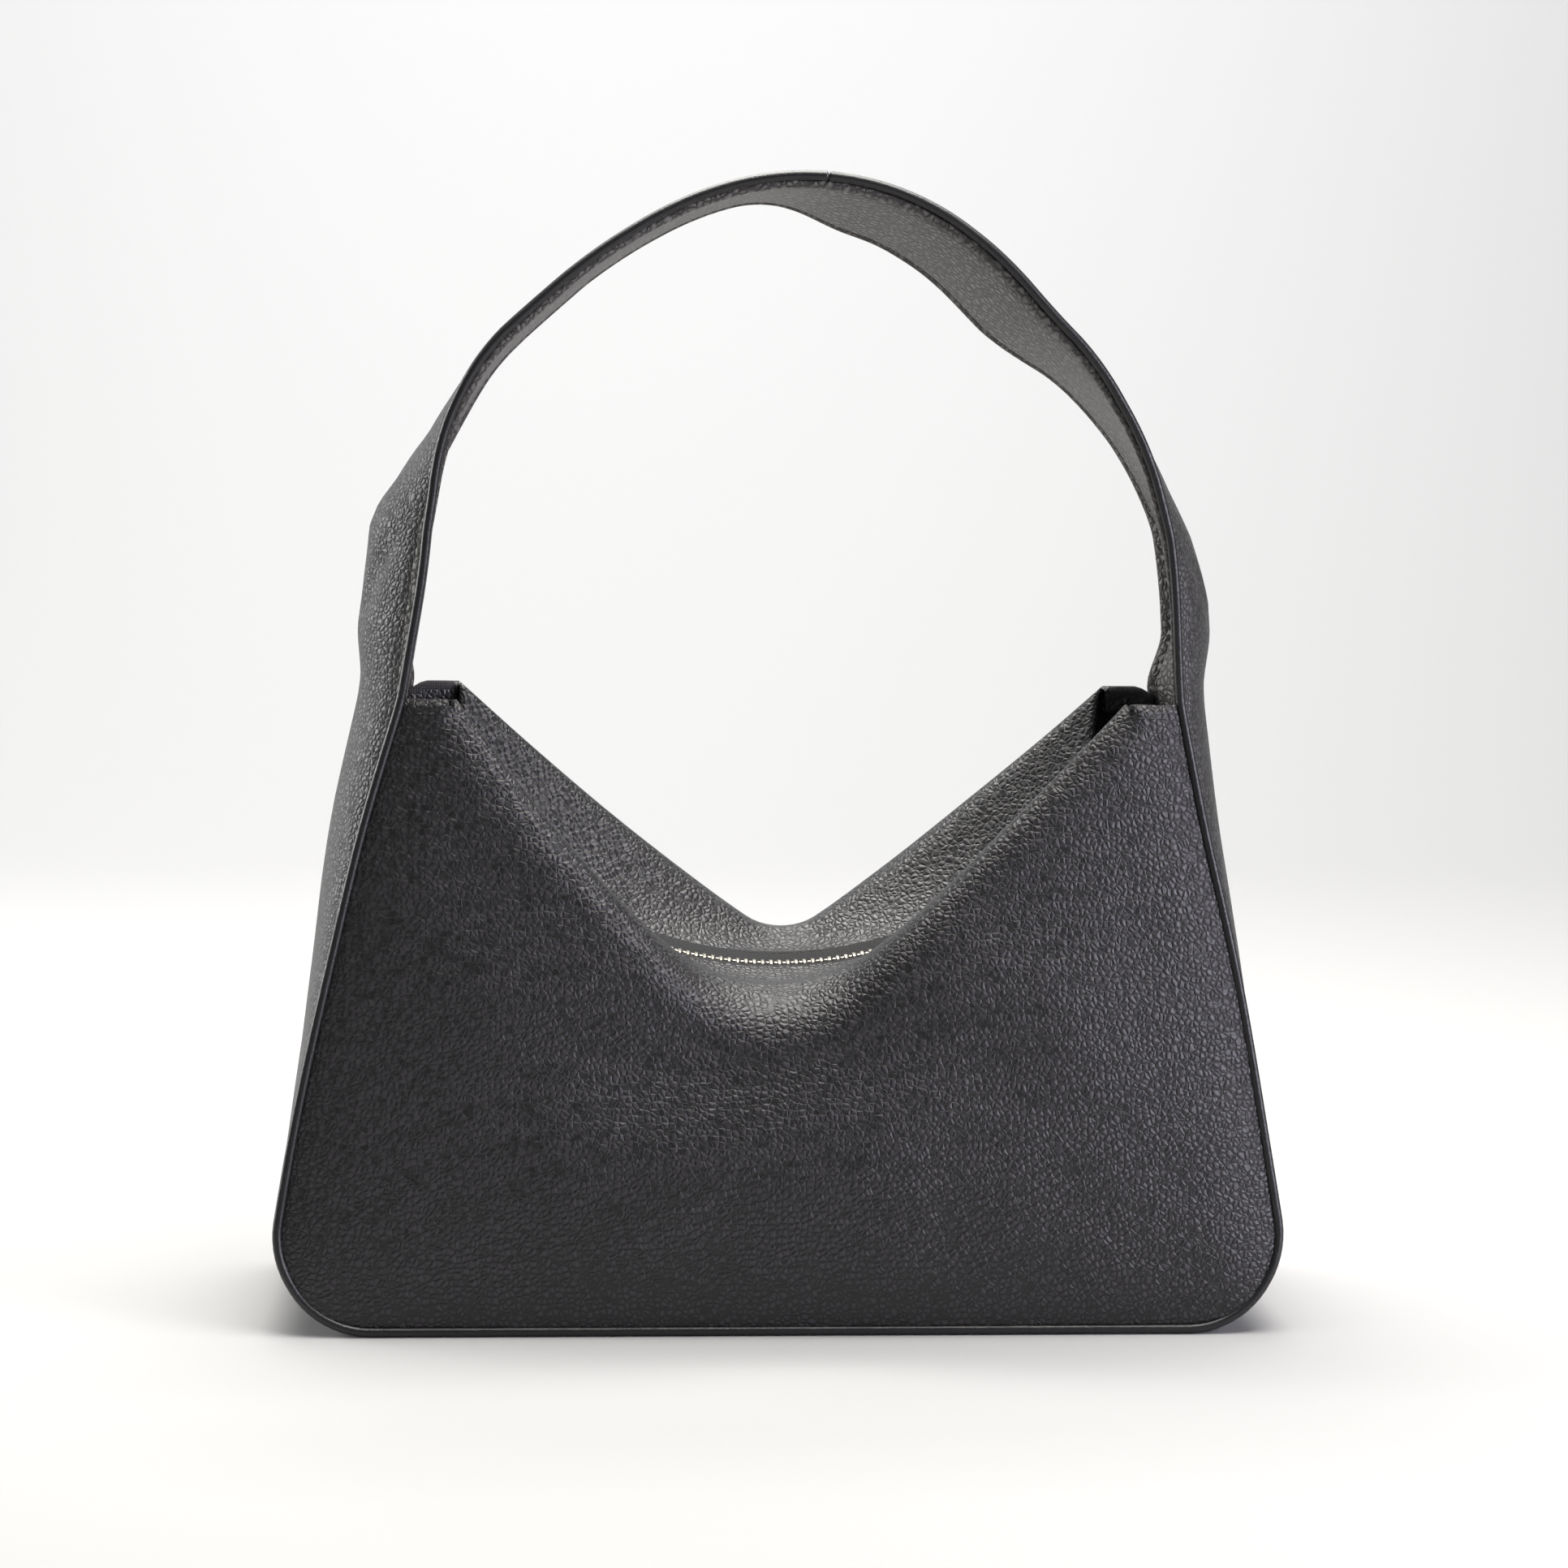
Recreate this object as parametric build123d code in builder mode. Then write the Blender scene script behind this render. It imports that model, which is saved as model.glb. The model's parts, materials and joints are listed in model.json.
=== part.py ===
from build123d import *
from math import atan2, asin, cos, degrees, hypot, radians, sin
import os

# A slouchy leather shoulder bag with one wide strap, a recessed zip and piped edges.
# The front and back panels are trapezoids that lean towards each other. Each one folds over at
# its sagging V-shaped mouth and runs down into the bag to the zip. A gusset joins the panels
# round the sides and the base and goes on over the top as the strap. Millimetres, +Z up, front
# towards -Y, origin on the floor under the middle of the bag.

# Body, measured between the piping centres.
base_width = 309.0          # where the side lines would meet the base line, before rounding
base_depth = 100.0
top_width = 234.0
top_depth = 48.0            # also the strap's width
body_height = 187.0
corner_radius = 27.0

# Sheet goods.
leather = 1.6
lining = 0.6
board = 2.0                 # stiffener in the base
tape = 0.6                  # zip tape
piping_radius = 1.5
gap = 0.1                   # between sewn neighbours
ease = 0.3                  # between the leather and what hangs inside it

# Mouth. The front sags lower than the back.
hem_length = 16.0           # the level edge between each side seam and the mouth
panel_top_inset = 0.5       # from the piping's end down to the top of the panel
front_sag = 92.0            # below the top of the body
back_sag = 77.0
mouth_radius = 30.0

# Zip: it hangs in an arc, because the fold-over is equally deep all along.
zip_end_inset = 3.0         # from the mouth's end to the zip's end
zip_sag = 83.0              # its lowest point, below the top of the body
zip_end_drop = 37.0         # its ends, below the top of the body
zip_slot = 5.5              # from the middle to the leather's edge
tape_edge = 14.0            # from the middle to the tape's outer edge
tape_inner = 1.85           # from the middle to the tape's inner edge, inside the teeth
tooth_pitch = 2.6
tooth_clear = 0.15          # between the teeth of the two rows
tooth_reach = 0.9           # past the middle, between the teeth of the other row
tooth_outer = 3.0
tooth_half_height = 1.2
tooth_tip_half = 0.55       # the head is thinner than the jaws
tape_end_margin = 7.0       # bare tape past the stops
stop_length = 2.4
chain_gap = 0.6             # from the slider's middle to the first tooth

# Slider and pull tab.
slider_length = 11.0
slider_plate = 1.3
slider_wall = 0.8
slider_corner = 1.5         # its corner radius, and where its side walls stop short
slider_clear = 0.25         # between the slider and the teeth
tape_slot = 1.2             # the slider's slot for the tape
wedge_length = 3.2
wedge_width = 2.2
wedge_inset = 0.4           # from the end of the slider
bridge_length = 7.6
bridge_width = 2.6
bridge_thick = 1.1
bridge_window = 2.0         # clear height under the bridge
bridge_foot = 0.6           # upright at each foot, before it slopes
bridge_slope = 1.2          # how far each end slopes inwards
tab_length = 25.0
tab_width = 6.4
tab_thick = 1.3
tab_arm = 1.4
tab_tilt = 7.0              # degrees above the tape, lying on the chain
tab_play = 0.3              # between its arms and the bridge
tab_arm_past = 1.4          # how far the arms run past the bridge's end
bar_radius = 0.7

# Strap.
strap_rise = 156.0          # from the top of the body to the strap's highest point
strap_core = 0.8
strap_foot_angle = 83.5     # degrees from level, where the strap leaves the body
strap_leg = 65.0            # its straight run at each foot
strap_slope_angle = 45.0
strap_slope = 24.6          # its straight run between the shoulder and the crown
flex_height = 51.0          # the stretch at each foot that bends when the strap is laid over
hinge_height = 18.0         # the middle of that bend, above the body

# Base, lining and pocket.
base_seam_inset = 54.5      # from the base line's end to the cross seam of base and side gusset
board_margin = 6.0
lining_inset = 4.6          # from the piping centre to the lining's outer face
lining_drop = 4.0           # from the top of the body to the top of the lining's gusset
pocket_width = 150.0
pocket_low = 14.0           # above the base seam
pocket_drop = 16.0          # below the back of the mouth
pocket_hem = 2.0            # the pocket's sewn edge
pocket_gap = 1.0

# Worked out from the sizes above.
lean_run = (base_depth - top_depth) / 2
lean_rise = body_height - piping_radius
slant = hypot(lean_run, lean_rise)              # the panel's height along its own slope
side_slope = (base_width - top_width) / 2 / slant
side_cos = cos(atan2(side_slope, 1))
edge_inset = piping_radius + gap
gusset_face = piping_radius * slant / lean_rise # its base then lies level with the piping
base_seam = base_width / 2 - base_seam_inset
mouth_half = top_width / 2 - hem_length
front_mouth_low = body_height - front_sag
back_mouth_low = body_height - back_sag
zip_half = mouth_half - zip_end_inset
zip_rise = zip_sag - zip_end_drop
zip_radius = (zip_half**2 + zip_rise**2) / (2 * zip_rise)
zip_centre = body_height - zip_sag + zip_radius
tooth_thick = tooth_pitch / 2 - tooth_clear
zip_angle = degrees(asin(zip_half / zip_radius))
margin_angle = degrees(tape_end_margin / zip_radius)
stop_angle = degrees(stop_length / zip_radius)
slider_half_angle = degrees(slider_length / 2 / zip_radius)
pitch_angle = degrees(tooth_pitch / zip_radius)
far = 2 * base_width                            # longer than anything here

os.makedirs("parts", exist_ok=True)


def seam_plane(side):
    """The leaning plane through a panel's seam: side -1 is the front and +1 the back."""
    return Plane(
        origin=(0, side * base_depth / 2, piping_radius),
        x_dir=(-side, 0, 0),
        z_dir=(0, side * lean_rise, lean_run),
    )


def seam_line(shift, top=slant):
    """Down one side, along the base and up the other, shifted outwards from the piping."""
    foot = base_width / 2 + shift * side_slope + shift / side_cos
    head = base_width / 2 - top * side_slope + shift / side_cos
    return FilletPolyline(
        (-head, top), (-foot, -shift), (foot, -shift), (head, top), radius=corner_radius + shift
    )


def mouth_points(low, depth):
    """The V of the mouth on the panel's slope, shifted down square to its own lines by depth."""
    low_slant = (low - piping_radius) / lean_rise * slant
    vertex = slant - low_slant
    for _ in range(20):     # the rounding lifts the bottom, so the vertex goes lower to suit
        angle = atan2(vertex, mouth_half)
        vertex = slant - low_slant + mouth_radius * (1 / cos(angle) - 1)
    drop = depth / cos(angle)
    return (-mouth_half, slant - drop), (0, slant - vertex - drop), (mouth_half, slant - drop)


def panel_face(plane, inset, low, depth):
    """The flat of a panel on its plane: inset from the piping, and below the mouth by depth."""
    points = mouth_points(low, depth)
    with BuildSketch(plane) as flat:
        with BuildLine():
            edge = seam_line(-inset, slant - panel_top_inset)
            Line(edge @ 1, edge @ 0)
        make_face()
        with BuildLine():
            edge = FilletPolyline(*points, radius=mouth_radius + depth)
            Polyline(edge @ 1, (far, points[2][1]), (far, far), (-far, far), (-far, points[0][1]), edge @ 0)
        make_face(mode=Mode.SUBTRACT)
    return flat.sketch


def facing_thirds(side, low, depth, thick):
    """The end faces of one layer of the fold-over, at the mouth and at the zip, in three pairs:
    the middle of the V and its two straight sides."""
    curves = []
    for lower in (depth, depth + thick):
        with BuildLine(seam_plane(side)):
            mouth = FilletPolyline(*mouth_points(low, lower), radius=mouth_radius + lower)
        with BuildLine(zip_side_plane(side, zip_slot)):
            arcs = [
                CenterArc((0, 0), zip_radius + lower, start * zip_angle - 90, zip_angle * 2 / 3)
                for start in (-1, -1 / 3, 1 / 3)
            ]
        curves += [mouth.edges().sort_by(Axis.X), arcs[::-side]]
    return [
        [Face.make_surface_from_curves(top, under), Face.make_surface_from_curves(zip_top, zip_under)]
        for top, zip_top, under, zip_under in zip(*curves)
    ]


def zip_side_plane(side, away):
    """An upright plane beside the zip, with its middle on the axis that the zip bends about."""
    return Plane(origin=(0, side * away, zip_centre), x_dir=(-side, 0, 0), z_dir=(0, side, 0))


def zip_band(plane, inner, outer):
    """A face along the zip's arc between two radii."""
    with BuildSketch(plane) as band:
        with BuildLine():
            low = CenterArc((0, 0), outer, -90 - zip_angle, 2 * zip_angle)
            high = CenterArc((0, 0), inner, -90 - zip_angle, 2 * zip_angle)
            Line(low @ 0, high @ 0)
            Line(low @ 1, high @ 1)
        make_face()
    return band.sketch


def band_face(outer, inner, top=slant):
    """The face between two seam lines: a band round the sides and the base."""
    with BuildSketch(seam_plane(-1)) as band:
        with BuildLine():
            outside = seam_line(outer, top)
            inside = seam_line(inner, top)
            Line(outside @ 0, inside @ 0)
            Line(outside @ 1, inside @ 1)
        make_face()
    return band.sketch


def trim_to_seams(inset):
    """Cuts the part in work to what lies between the two seam planes, less the inset."""
    for side in (-1, 1):
        split(bisect_by=seam_plane(side).offset(-inset), keep=Keep.BOTTOM)


def zip_plane(angle, lift=0.0):
    """On the zip's arc: x along the tape towards +X, z up from the tape, angle in degrees from
    the bottom of the arc, lift towards the arc's centre."""
    turn = radians(angle)
    reach = zip_radius - lift
    return Plane(
        origin=(reach * sin(turn), 0, zip_centre - reach * cos(turn)),
        x_dir=(cos(turn), 0, sin(turn)),
        z_dir=(-sin(turn), 0, cos(turn)),
    )


def strap_radii():
    """The shoulder and crown radii, which the strap's span, rise and straight runs leave."""
    foot, slope = radians(strap_foot_angle), radians(strap_slope_angle)
    across = top_width / 2 - strap_leg * cos(foot) - strap_slope * cos(slope)
    up = strap_rise - strap_leg * sin(foot) - strap_slope * sin(slope)
    scale = (sin(foot) - sin(slope)) * (1 - cos(slope)) - sin(slope) * (cos(slope) - cos(foot))
    shoulder = (across * (1 - cos(slope)) - up * sin(slope)) / scale
    crown = (up * (sin(foot) - sin(slope)) - across * (cos(slope) - cos(foot))) / scale
    return shoulder, crown


def strap_line(shift):
    """The strap's line from foot to foot over the top, shifted outwards by shift."""
    shoulder, crown = strap_radii()
    foot, slope = strap_foot_angle, strap_slope_angle
    start = (-top_width / 2 - shift * sin(radians(foot)), body_height + shift * cos(radians(foot)))
    line = PolarLine(start, strap_leg, angle=foot)
    first = line @ 0
    line = JernArc(line @ 1, line % 1, shoulder + shift, slope - foot)
    line = PolarLine(line @ 1, strap_slope, angle=slope)
    line = JernArc(line @ 1, line % 1, crown + shift, -2 * slope)
    line = PolarLine(line @ 1, strap_slope, angle=-slope)
    line = JernArc(line @ 1, line % 1, shoulder + shift, slope - foot)
    line = PolarLine(line @ 1, strap_leg, angle=-foot)
    return first, line @ 1


def strap_face(inner, outer):
    """The side view of one layer of the strap, between two shifts from the piping's line."""
    with BuildSketch(Plane.XZ) as side_view:
        with BuildLine():
            outer_start, outer_end = strap_line(outer)
            inner_start, inner_end = strap_line(inner)
            Line(outer_start, inner_start)
            Line(outer_end, inner_end)
        make_face()
    return side_view.sketch


def keep_above(height):
    split(bisect_by=Plane.XY.offset(height), keep=Keep.TOP)


def keep_foot(side):
    """Cuts a strap layer to the bending stretch at one foot."""
    keep_above(body_height + gap)
    split(bisect_by=Plane.XY.offset(body_height + flex_height - gap), keep=Keep.BOTTOM)
    split(bisect_by=Plane.YZ, keep=Keep.TOP if side > 0 else Keep.BOTTOM)


# The layers of the strap, as shifts from the piping's line.
outer_layer = (piping_radius - leather, piping_radius)
core_layer = (outer_layer[0] - gap - strap_core, outer_layer[0] - gap)
inner_layer = (core_layer[0] - gap - leather, core_layer[0] - gap)


def strap_piping(y):
    """Piping along one edge of the whole strap."""
    with BuildPart() as tube:
        with BuildLine(Plane.XZ.offset(-y)) as path:
            strap_line(0)
        with BuildSketch(Plane(origin=path.wire() @ 0, z_dir=path.wire() % 0)):
            Circle(piping_radius)
        sweep(path=path.wire())
    return tube.part


def panel(side, low):
    """A leather panel with its fold-over, in one piece."""
    thirds = facing_thirds(side, low, 0, leather)
    with BuildPart() as sheet:
        for ends in thirds:
            loft(ends, ruled=True)
        split(bisect_by=seam_plane(side).offset(leather / 2), keep=Keep.BOTTOM)
        extrude(panel_face(seam_plane(side).offset(-leather / 2), edge_inset, low, 0), amount=leather)
    return sheet


def lining_sheet(side, low):
    """The lining of a panel, hung from the zip under the fold-over."""
    depth = leather + tape + 2 * gap
    near = leather / 2 + ease
    plane = seam_plane(side).offset(-near - lining)
    flat = panel_face(plane, lining_inset + lining + ease, low, 0)
    room = facing_thirds(side, low, -mouth_radius / 2, mouth_radius / 2 + depth)
    thirds = facing_thirds(side, low, depth, lining)
    with BuildPart() as sheet:
        extrude(flat, amount=lining)
        for ends in room:
            loft(ends, ruled=True, mode=Mode.SUBTRACT)
        for ends in thirds:
            loft(ends, ruled=True)
        split(bisect_by=seam_plane(side).offset(-near), keep=Keep.BOTTOM)
        split(bisect_by=zip_side_plane(side, tape_edge), keep=Keep.TOP)
    return sheet


def zip_tape(side, low):
    """Half the zip's tape: level beside the teeth, then sewn under the fold-over."""
    under = zip_radius + leather + gap
    thirds = facing_thirds(side, low, leather + gap, tape)
    with BuildPart() as half:
        for ends in thirds:
            loft(ends, ruled=True)
        split(bisect_by=zip_side_plane(side, tape_edge), keep=Keep.BOTTOM)
        level = zip_band(zip_side_plane(side, tape_inner), zip_radius - tape / 2, zip_radius + tape / 2)
        extrude(level, amount=zip_slot - gap - tape_inner)
        step = zip_band(zip_side_plane(side, zip_slot - gap - tape), zip_radius - tape / 2, under + tape)
        extrude(step, amount=tape)
        joint = zip_band(zip_side_plane(side, zip_slot - gap), under, under + tape)
        extrude(joint, amount=gap)
    return half


def tooth_row(side, phase, first, last):
    """A row of separate teeth. Each one has a head between those of the other row and two jaws
    either side of the tape."""
    with BuildPart() as tooth:
        with BuildSketch(Plane.YZ):
            with BuildLine():
                Polyline(
                    (-side * tooth_reach, -tooth_tip_half), (side, -tooth_half_height),
                    (side * tooth_outer, -tooth_half_height), (side * tooth_outer, -tape / 2 - gap),
                    (side * (tape_inner - gap), -tape / 2 - gap), (side * (tape_inner - gap), tape / 2 + gap),
                    (side * tooth_outer, tape / 2 + gap), (side * tooth_outer, tooth_half_height),
                    (side, tooth_half_height), (-side * tooth_reach, tooth_tip_half), close=True,
                )
            make_face()
        extrude(amount=tooth_thick / 2, both=True)
    count = int((last - first) / pitch_angle)
    places = [zip_plane(first + (step + phase) * pitch_angle).location for step in range(count)]
    with BuildPart() as row:
        with Locations(*places):
            add(tooth.part)
    return row


front_panel = panel(-1, front_mouth_low)
back_panel = panel(1, back_mouth_low)

# Gusset: one band across the base and up both sides, with cross seams under the bag.
with BuildPart() as gusset:
    extrude(band_face(gusset_face, gusset_face - leather), amount=far, dir=(0, 1, 0))
    trim_to_seams(edge_inset)

with BuildPart() as gusset_base:
    add(gusset.part)
    split(bisect_by=Plane.YZ.offset(base_seam - gap), keep=Keep.BOTTOM)
    split(bisect_by=Plane.YZ.offset(gap - base_seam), keep=Keep.TOP)
    split(bisect_by=Plane.XY.offset(body_height / 2), keep=Keep.BOTTOM)

gusset_sides = {}
for name, side in (("gusset_left", -1), ("gusset_right", 1)):
    with BuildPart() as gusset_side:
        add(gusset.part)
        split(bisect_by=Plane.YZ.offset(side * base_seam), keep=Keep.TOP if side > 0 else Keep.BOTTOM)
        split(bisect_by=Plane.XY.offset(body_height), keep=Keep.BOTTOM)
    gusset_sides[name] = gusset_side

# Piping round each panel.
body_piping = {}
for name, side in (("piping_front", -1), ("piping_back", 1)):
    with BuildPart() as piping:
        with BuildLine(seam_plane(side)) as path:
            seam_line(0)
        with BuildSketch(Plane(origin=path.wire() @ 0, z_dir=path.wire() % 0)):
            Circle(piping_radius)
        sweep(path=path.wire())
        split(bisect_by=Plane.XY.offset(body_height), keep=Keep.BOTTOM)
    body_piping[name] = piping

# Stiffener on the base, under the lining.
board_low = leather + gap
board_depth = base_depth - 2 * (edge_inset + board_margin)
with BuildPart() as base_board:
    with BuildSketch(Plane.XY.offset(board_low)):
        RectangleRounded(2 * (base_seam + board_margin), board_depth, board_margin)
    extrude(amount=board)

# Lining.
lining_front = lining_sheet(-1, front_mouth_low)
lining_back = lining_sheet(1, back_mouth_low)
with BuildPart() as lining_gusset:
    extrude(band_face(-lining_inset, -lining_inset - lining, slant - lining_drop), amount=far, dir=(0, 1, 0))
    trim_to_seams(leather / 2 + ease)

# Slip pocket on the back lining: flat, open at the top.
pocket_face = leather / 2 + ease + lining + gap
pocket_height = (back_mouth_low - piping_radius) / lean_rise * slant - pocket_drop - pocket_low
with BuildPart() as slip_pocket:
    with BuildSketch(seam_plane(1).offset(-pocket_face)):
        with Locations((0, pocket_low)):
            Rectangle(pocket_width, pocket_height, align=(Align.CENTER, Align.MIN))
    extrude(amount=-pocket_gap - lining)
    with BuildSketch(seam_plane(1).offset(-pocket_face)):
        with Locations((0, pocket_low + pocket_hem)):
            Rectangle(pocket_width - 2 * pocket_hem, pocket_height, align=(Align.CENTER, Align.MIN))
    extrude(amount=-pocket_gap, mode=Mode.SUBTRACT)

# Zip.
zip_tape_front = zip_tape(-1, front_mouth_low)
zip_tape_back = zip_tape(1, back_mouth_low)
slider_angle = -zip_angle + margin_angle + stop_angle + slider_half_angle
chain_start = slider_angle + degrees(chain_gap / zip_radius)
chain_end = zip_angle - margin_angle - stop_angle
zip_teeth_front = tooth_row(-1, 0, chain_start, chain_end)
zip_teeth_back = tooth_row(1, 0.5, chain_start, chain_end)

with BuildPart() as zip_top_stops:
    for low, high in ((tape / 2 + gap, tooth_half_height), (-tooth_half_height, -tape / 2 - gap)):
        with BuildSketch(zip_plane(-zip_angle + margin_angle + stop_angle / 3, low)):
            for side in (-1, 1):
                with Locations((0, side * (tape_inner + tooth_outer) / 2)):
                    Rectangle(stop_length / 2, tooth_outer - tape_inner)
        extrude(amount=high - low)

with BuildPart() as zip_bottom_stop:
    with BuildSketch(zip_plane(zip_angle - margin_angle - stop_angle / 2, tape / 2 + gap)):
        Rectangle(stop_length, 2 * tooth_outer)
    extrude(amount=tooth_half_height - tape / 2)
    with BuildSketch(zip_plane(zip_angle - margin_angle - stop_angle / 2, -tape / 2 - gap)):
        Rectangle(stop_length, 2 * tooth_outer)
    extrude(amount=tape / 2 - tooth_half_height)
    with BuildSketch(zip_plane(zip_angle - margin_angle - stop_angle / 2)):
        Rectangle(stop_length, 2 * (tape_inner - gap))
    extrude(amount=tape / 2 + gap, both=True)

# Slider, parked against the top stops on the left. Its plates are joined by the wedge that
# parts the teeth, at the end that meets the stops.
channel_half = tooth_half_height + slider_clear
inside_half = tooth_outer + slider_clear
outside_half = inside_half + slider_wall
slider_top = channel_half + slider_plate
wedge_back = wedge_inset - slider_length / 2
with BuildPart() as slider_body:
    for face in (-1, 1):
        with BuildSketch(zip_plane(slider_angle, face * channel_half)):
            RectangleRounded(slider_length, 2 * outside_half, slider_corner)
        extrude(amount=face * slider_plate)
        with BuildSketch(zip_plane(slider_angle, face * tape_slot / 2)):
            for side in (-1, 1):
                with Locations((0, side * (inside_half + slider_wall / 2))):
                    Rectangle(slider_length - 2 * slider_corner, slider_wall)
        extrude(amount=face * (channel_half - tape_slot / 2))
    with BuildSketch(zip_plane(slider_angle, -channel_half)):
        with BuildLine():
            Polyline((wedge_back, -wedge_width / 2), (wedge_back + wedge_length, 0),
                     (wedge_back, wedge_width / 2), close=True)
        make_face()
    extrude(amount=2 * channel_half)

# Bridge over the slider, which the tab's bar hangs in.
bridge_half = bridge_length / 2
bridge_high = bridge_window + bridge_thick
window_low = bridge_half - bridge_thick - bridge_slope / 4
window_high = window_low - bridge_slope / 3
bridge_plane = Plane(
    origin=zip_plane(slider_angle, slider_top + gap / 2).origin,
    x_dir=zip_plane(slider_angle).x_dir,
    z_dir=-zip_plane(slider_angle).y_dir,
)
with BuildPart() as slider_bridge:
    with BuildSketch(bridge_plane):
        with BuildLine():
            Polyline(
                (-bridge_half, 0), (-bridge_half, bridge_foot), (bridge_slope - bridge_half, bridge_high),
                (bridge_half - bridge_slope, bridge_high), (bridge_half, bridge_foot), (bridge_half, 0),
                (window_low, 0), (window_high, bridge_window), (-window_high, bridge_window),
                (-window_low, 0), close=True,
            )
        make_face()
    extrude(amount=bridge_width / 2, both=True)

# Pull tab: it turns on a round bar that runs under the bridge, and lies along the chain.
tab_pivot = zip_plane(slider_angle, slider_top + gap / 2 + bridge_window / 2)
tab_turn = radians(slider_angle + tab_tilt)
tab_plane = Plane(
    origin=tab_pivot.origin,
    x_dir=(cos(tab_turn), 0, sin(tab_turn)),
    z_dir=(-sin(tab_turn), 0, cos(tab_turn)),
)
arm_inner = bridge_width / 2 + tab_play
arm_reach = bridge_half + tab_arm_past
arm_outer = arm_inner + tab_arm
tab_half = tab_width / 2
with BuildPart() as pull_tab:
    with BuildSketch(tab_plane.offset(-tab_thick / 2)):
        with BuildLine():
            Polyline(
                (-bar_radius, -arm_outer), (arm_reach, -arm_outer), (tab_length - tab_half, -tab_half)
            )
            ThreePointArc(
                (tab_length - tab_half, -tab_half), (tab_length, 0), (tab_length - tab_half, tab_half)
            )
            Polyline(
                (tab_length - tab_half, tab_half), (arm_reach, arm_outer), (-bar_radius, arm_outer),
                (-bar_radius, arm_inner), (arm_reach, arm_inner), (arm_reach, -arm_inner),
                (-bar_radius, -arm_inner), (-bar_radius, -arm_outer),
            )
        make_face()
    extrude(amount=tab_thick)
    with BuildSketch(Plane(origin=tab_pivot.origin, x_dir=(1, 0, 0), z_dir=(0, 1, 0))):
        Circle(bar_radius)
    extrude(amount=arm_outer, both=True)

# Strap.
strap_half_width = top_depth / 2 - edge_inset
with BuildPart() as strap_outer:
    extrude(strap_face(*outer_layer), amount=strap_half_width, both=True)
    keep_above(body_height + flex_height)
with BuildPart() as strap_middle:
    extrude(strap_face(*core_layer), amount=strap_half_width, both=True)
    keep_above(body_height + flex_height)
with BuildPart() as strap_inner:
    extrude(strap_face(*inner_layer), amount=strap_half_width, both=True)
    keep_above(body_height + flex_height)

whole_pipings = [strap_piping(-top_depth / 2), strap_piping(top_depth / 2)]
strap_pipings = {}
for name, whole in zip(("strap_piping_front", "strap_piping_back"), whole_pipings):
    with BuildPart() as piping:
        add(whole)
        keep_above(body_height + flex_height)
    strap_pipings[name] = piping

# The stretch at each foot that bends, with the same layers.
strap_feet = {}
for name, side in (("strap_foot_left", -1), ("strap_foot_right", 1)):
    with BuildPart() as foot:
        for layer in (outer_layer, core_layer, inner_layer):
            extrude(strap_face(*layer), amount=strap_half_width, both=True)
        add(whole_pipings)
        keep_foot(side)
    strap_feet[name] = foot

pieces = {
    "front_panel": front_panel,
    "back_panel": back_panel,
    "gusset_base": gusset_base,
    **gusset_sides,
    **body_piping,
    "base_board": base_board,
    "lining_front": lining_front,
    "lining_back": lining_back,
    "lining_gusset": lining_gusset,
    "slip_pocket": slip_pocket,
    "zip_tape_front": zip_tape_front,
    "zip_tape_back": zip_tape_back,
    "zip_teeth_front": zip_teeth_front,
    "zip_teeth_back": zip_teeth_back,
    "zip_top_stops": zip_top_stops,
    "zip_bottom_stop": zip_bottom_stop,
    "slider_body": slider_body,
    "slider_bridge": slider_bridge,
    "pull_tab": pull_tab,
    "strap_outer": strap_outer,
    "strap_core": strap_middle,
    "strap_lining": strap_inner,
    **strap_pipings,
    **strap_feet,
}
for name, piece in pieces.items():
    piece.part.label = name
    export_step(piece.part, f"parts/{name}.step")

print("zip centre height", round(zip_centre, 3), "radius", round(zip_radius, 3))
print("zip half angle", round(zip_angle, 3))
print("slider at", round(slider_angle, 3), "travel", round(chain_end - slider_half_angle - slider_angle, 3))
print("tab pivot", tab_pivot.origin)
print("strap hinge height", body_height + hinge_height)
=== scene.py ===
import json
import math
import bpy
import bmesh
from mathutils import Matrix, Quaternion, Vector, noise


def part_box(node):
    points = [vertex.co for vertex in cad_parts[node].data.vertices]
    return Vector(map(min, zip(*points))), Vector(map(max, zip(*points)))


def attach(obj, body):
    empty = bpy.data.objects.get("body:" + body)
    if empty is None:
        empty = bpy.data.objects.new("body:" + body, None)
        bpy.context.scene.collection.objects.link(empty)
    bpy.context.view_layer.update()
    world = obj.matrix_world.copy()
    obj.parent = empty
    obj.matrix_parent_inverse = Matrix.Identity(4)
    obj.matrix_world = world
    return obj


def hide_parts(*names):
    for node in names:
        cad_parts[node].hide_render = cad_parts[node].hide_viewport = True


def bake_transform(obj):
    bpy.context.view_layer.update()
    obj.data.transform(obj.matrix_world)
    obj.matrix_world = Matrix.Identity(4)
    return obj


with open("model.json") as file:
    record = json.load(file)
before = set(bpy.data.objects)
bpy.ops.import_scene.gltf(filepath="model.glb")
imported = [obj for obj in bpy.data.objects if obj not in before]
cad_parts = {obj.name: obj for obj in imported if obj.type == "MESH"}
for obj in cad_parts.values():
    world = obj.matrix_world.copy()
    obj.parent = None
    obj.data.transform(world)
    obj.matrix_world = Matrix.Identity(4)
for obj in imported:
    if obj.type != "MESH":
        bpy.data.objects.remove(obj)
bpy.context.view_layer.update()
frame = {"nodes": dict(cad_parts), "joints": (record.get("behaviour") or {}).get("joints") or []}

scene = bpy.context.scene
mm = 0.001

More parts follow.
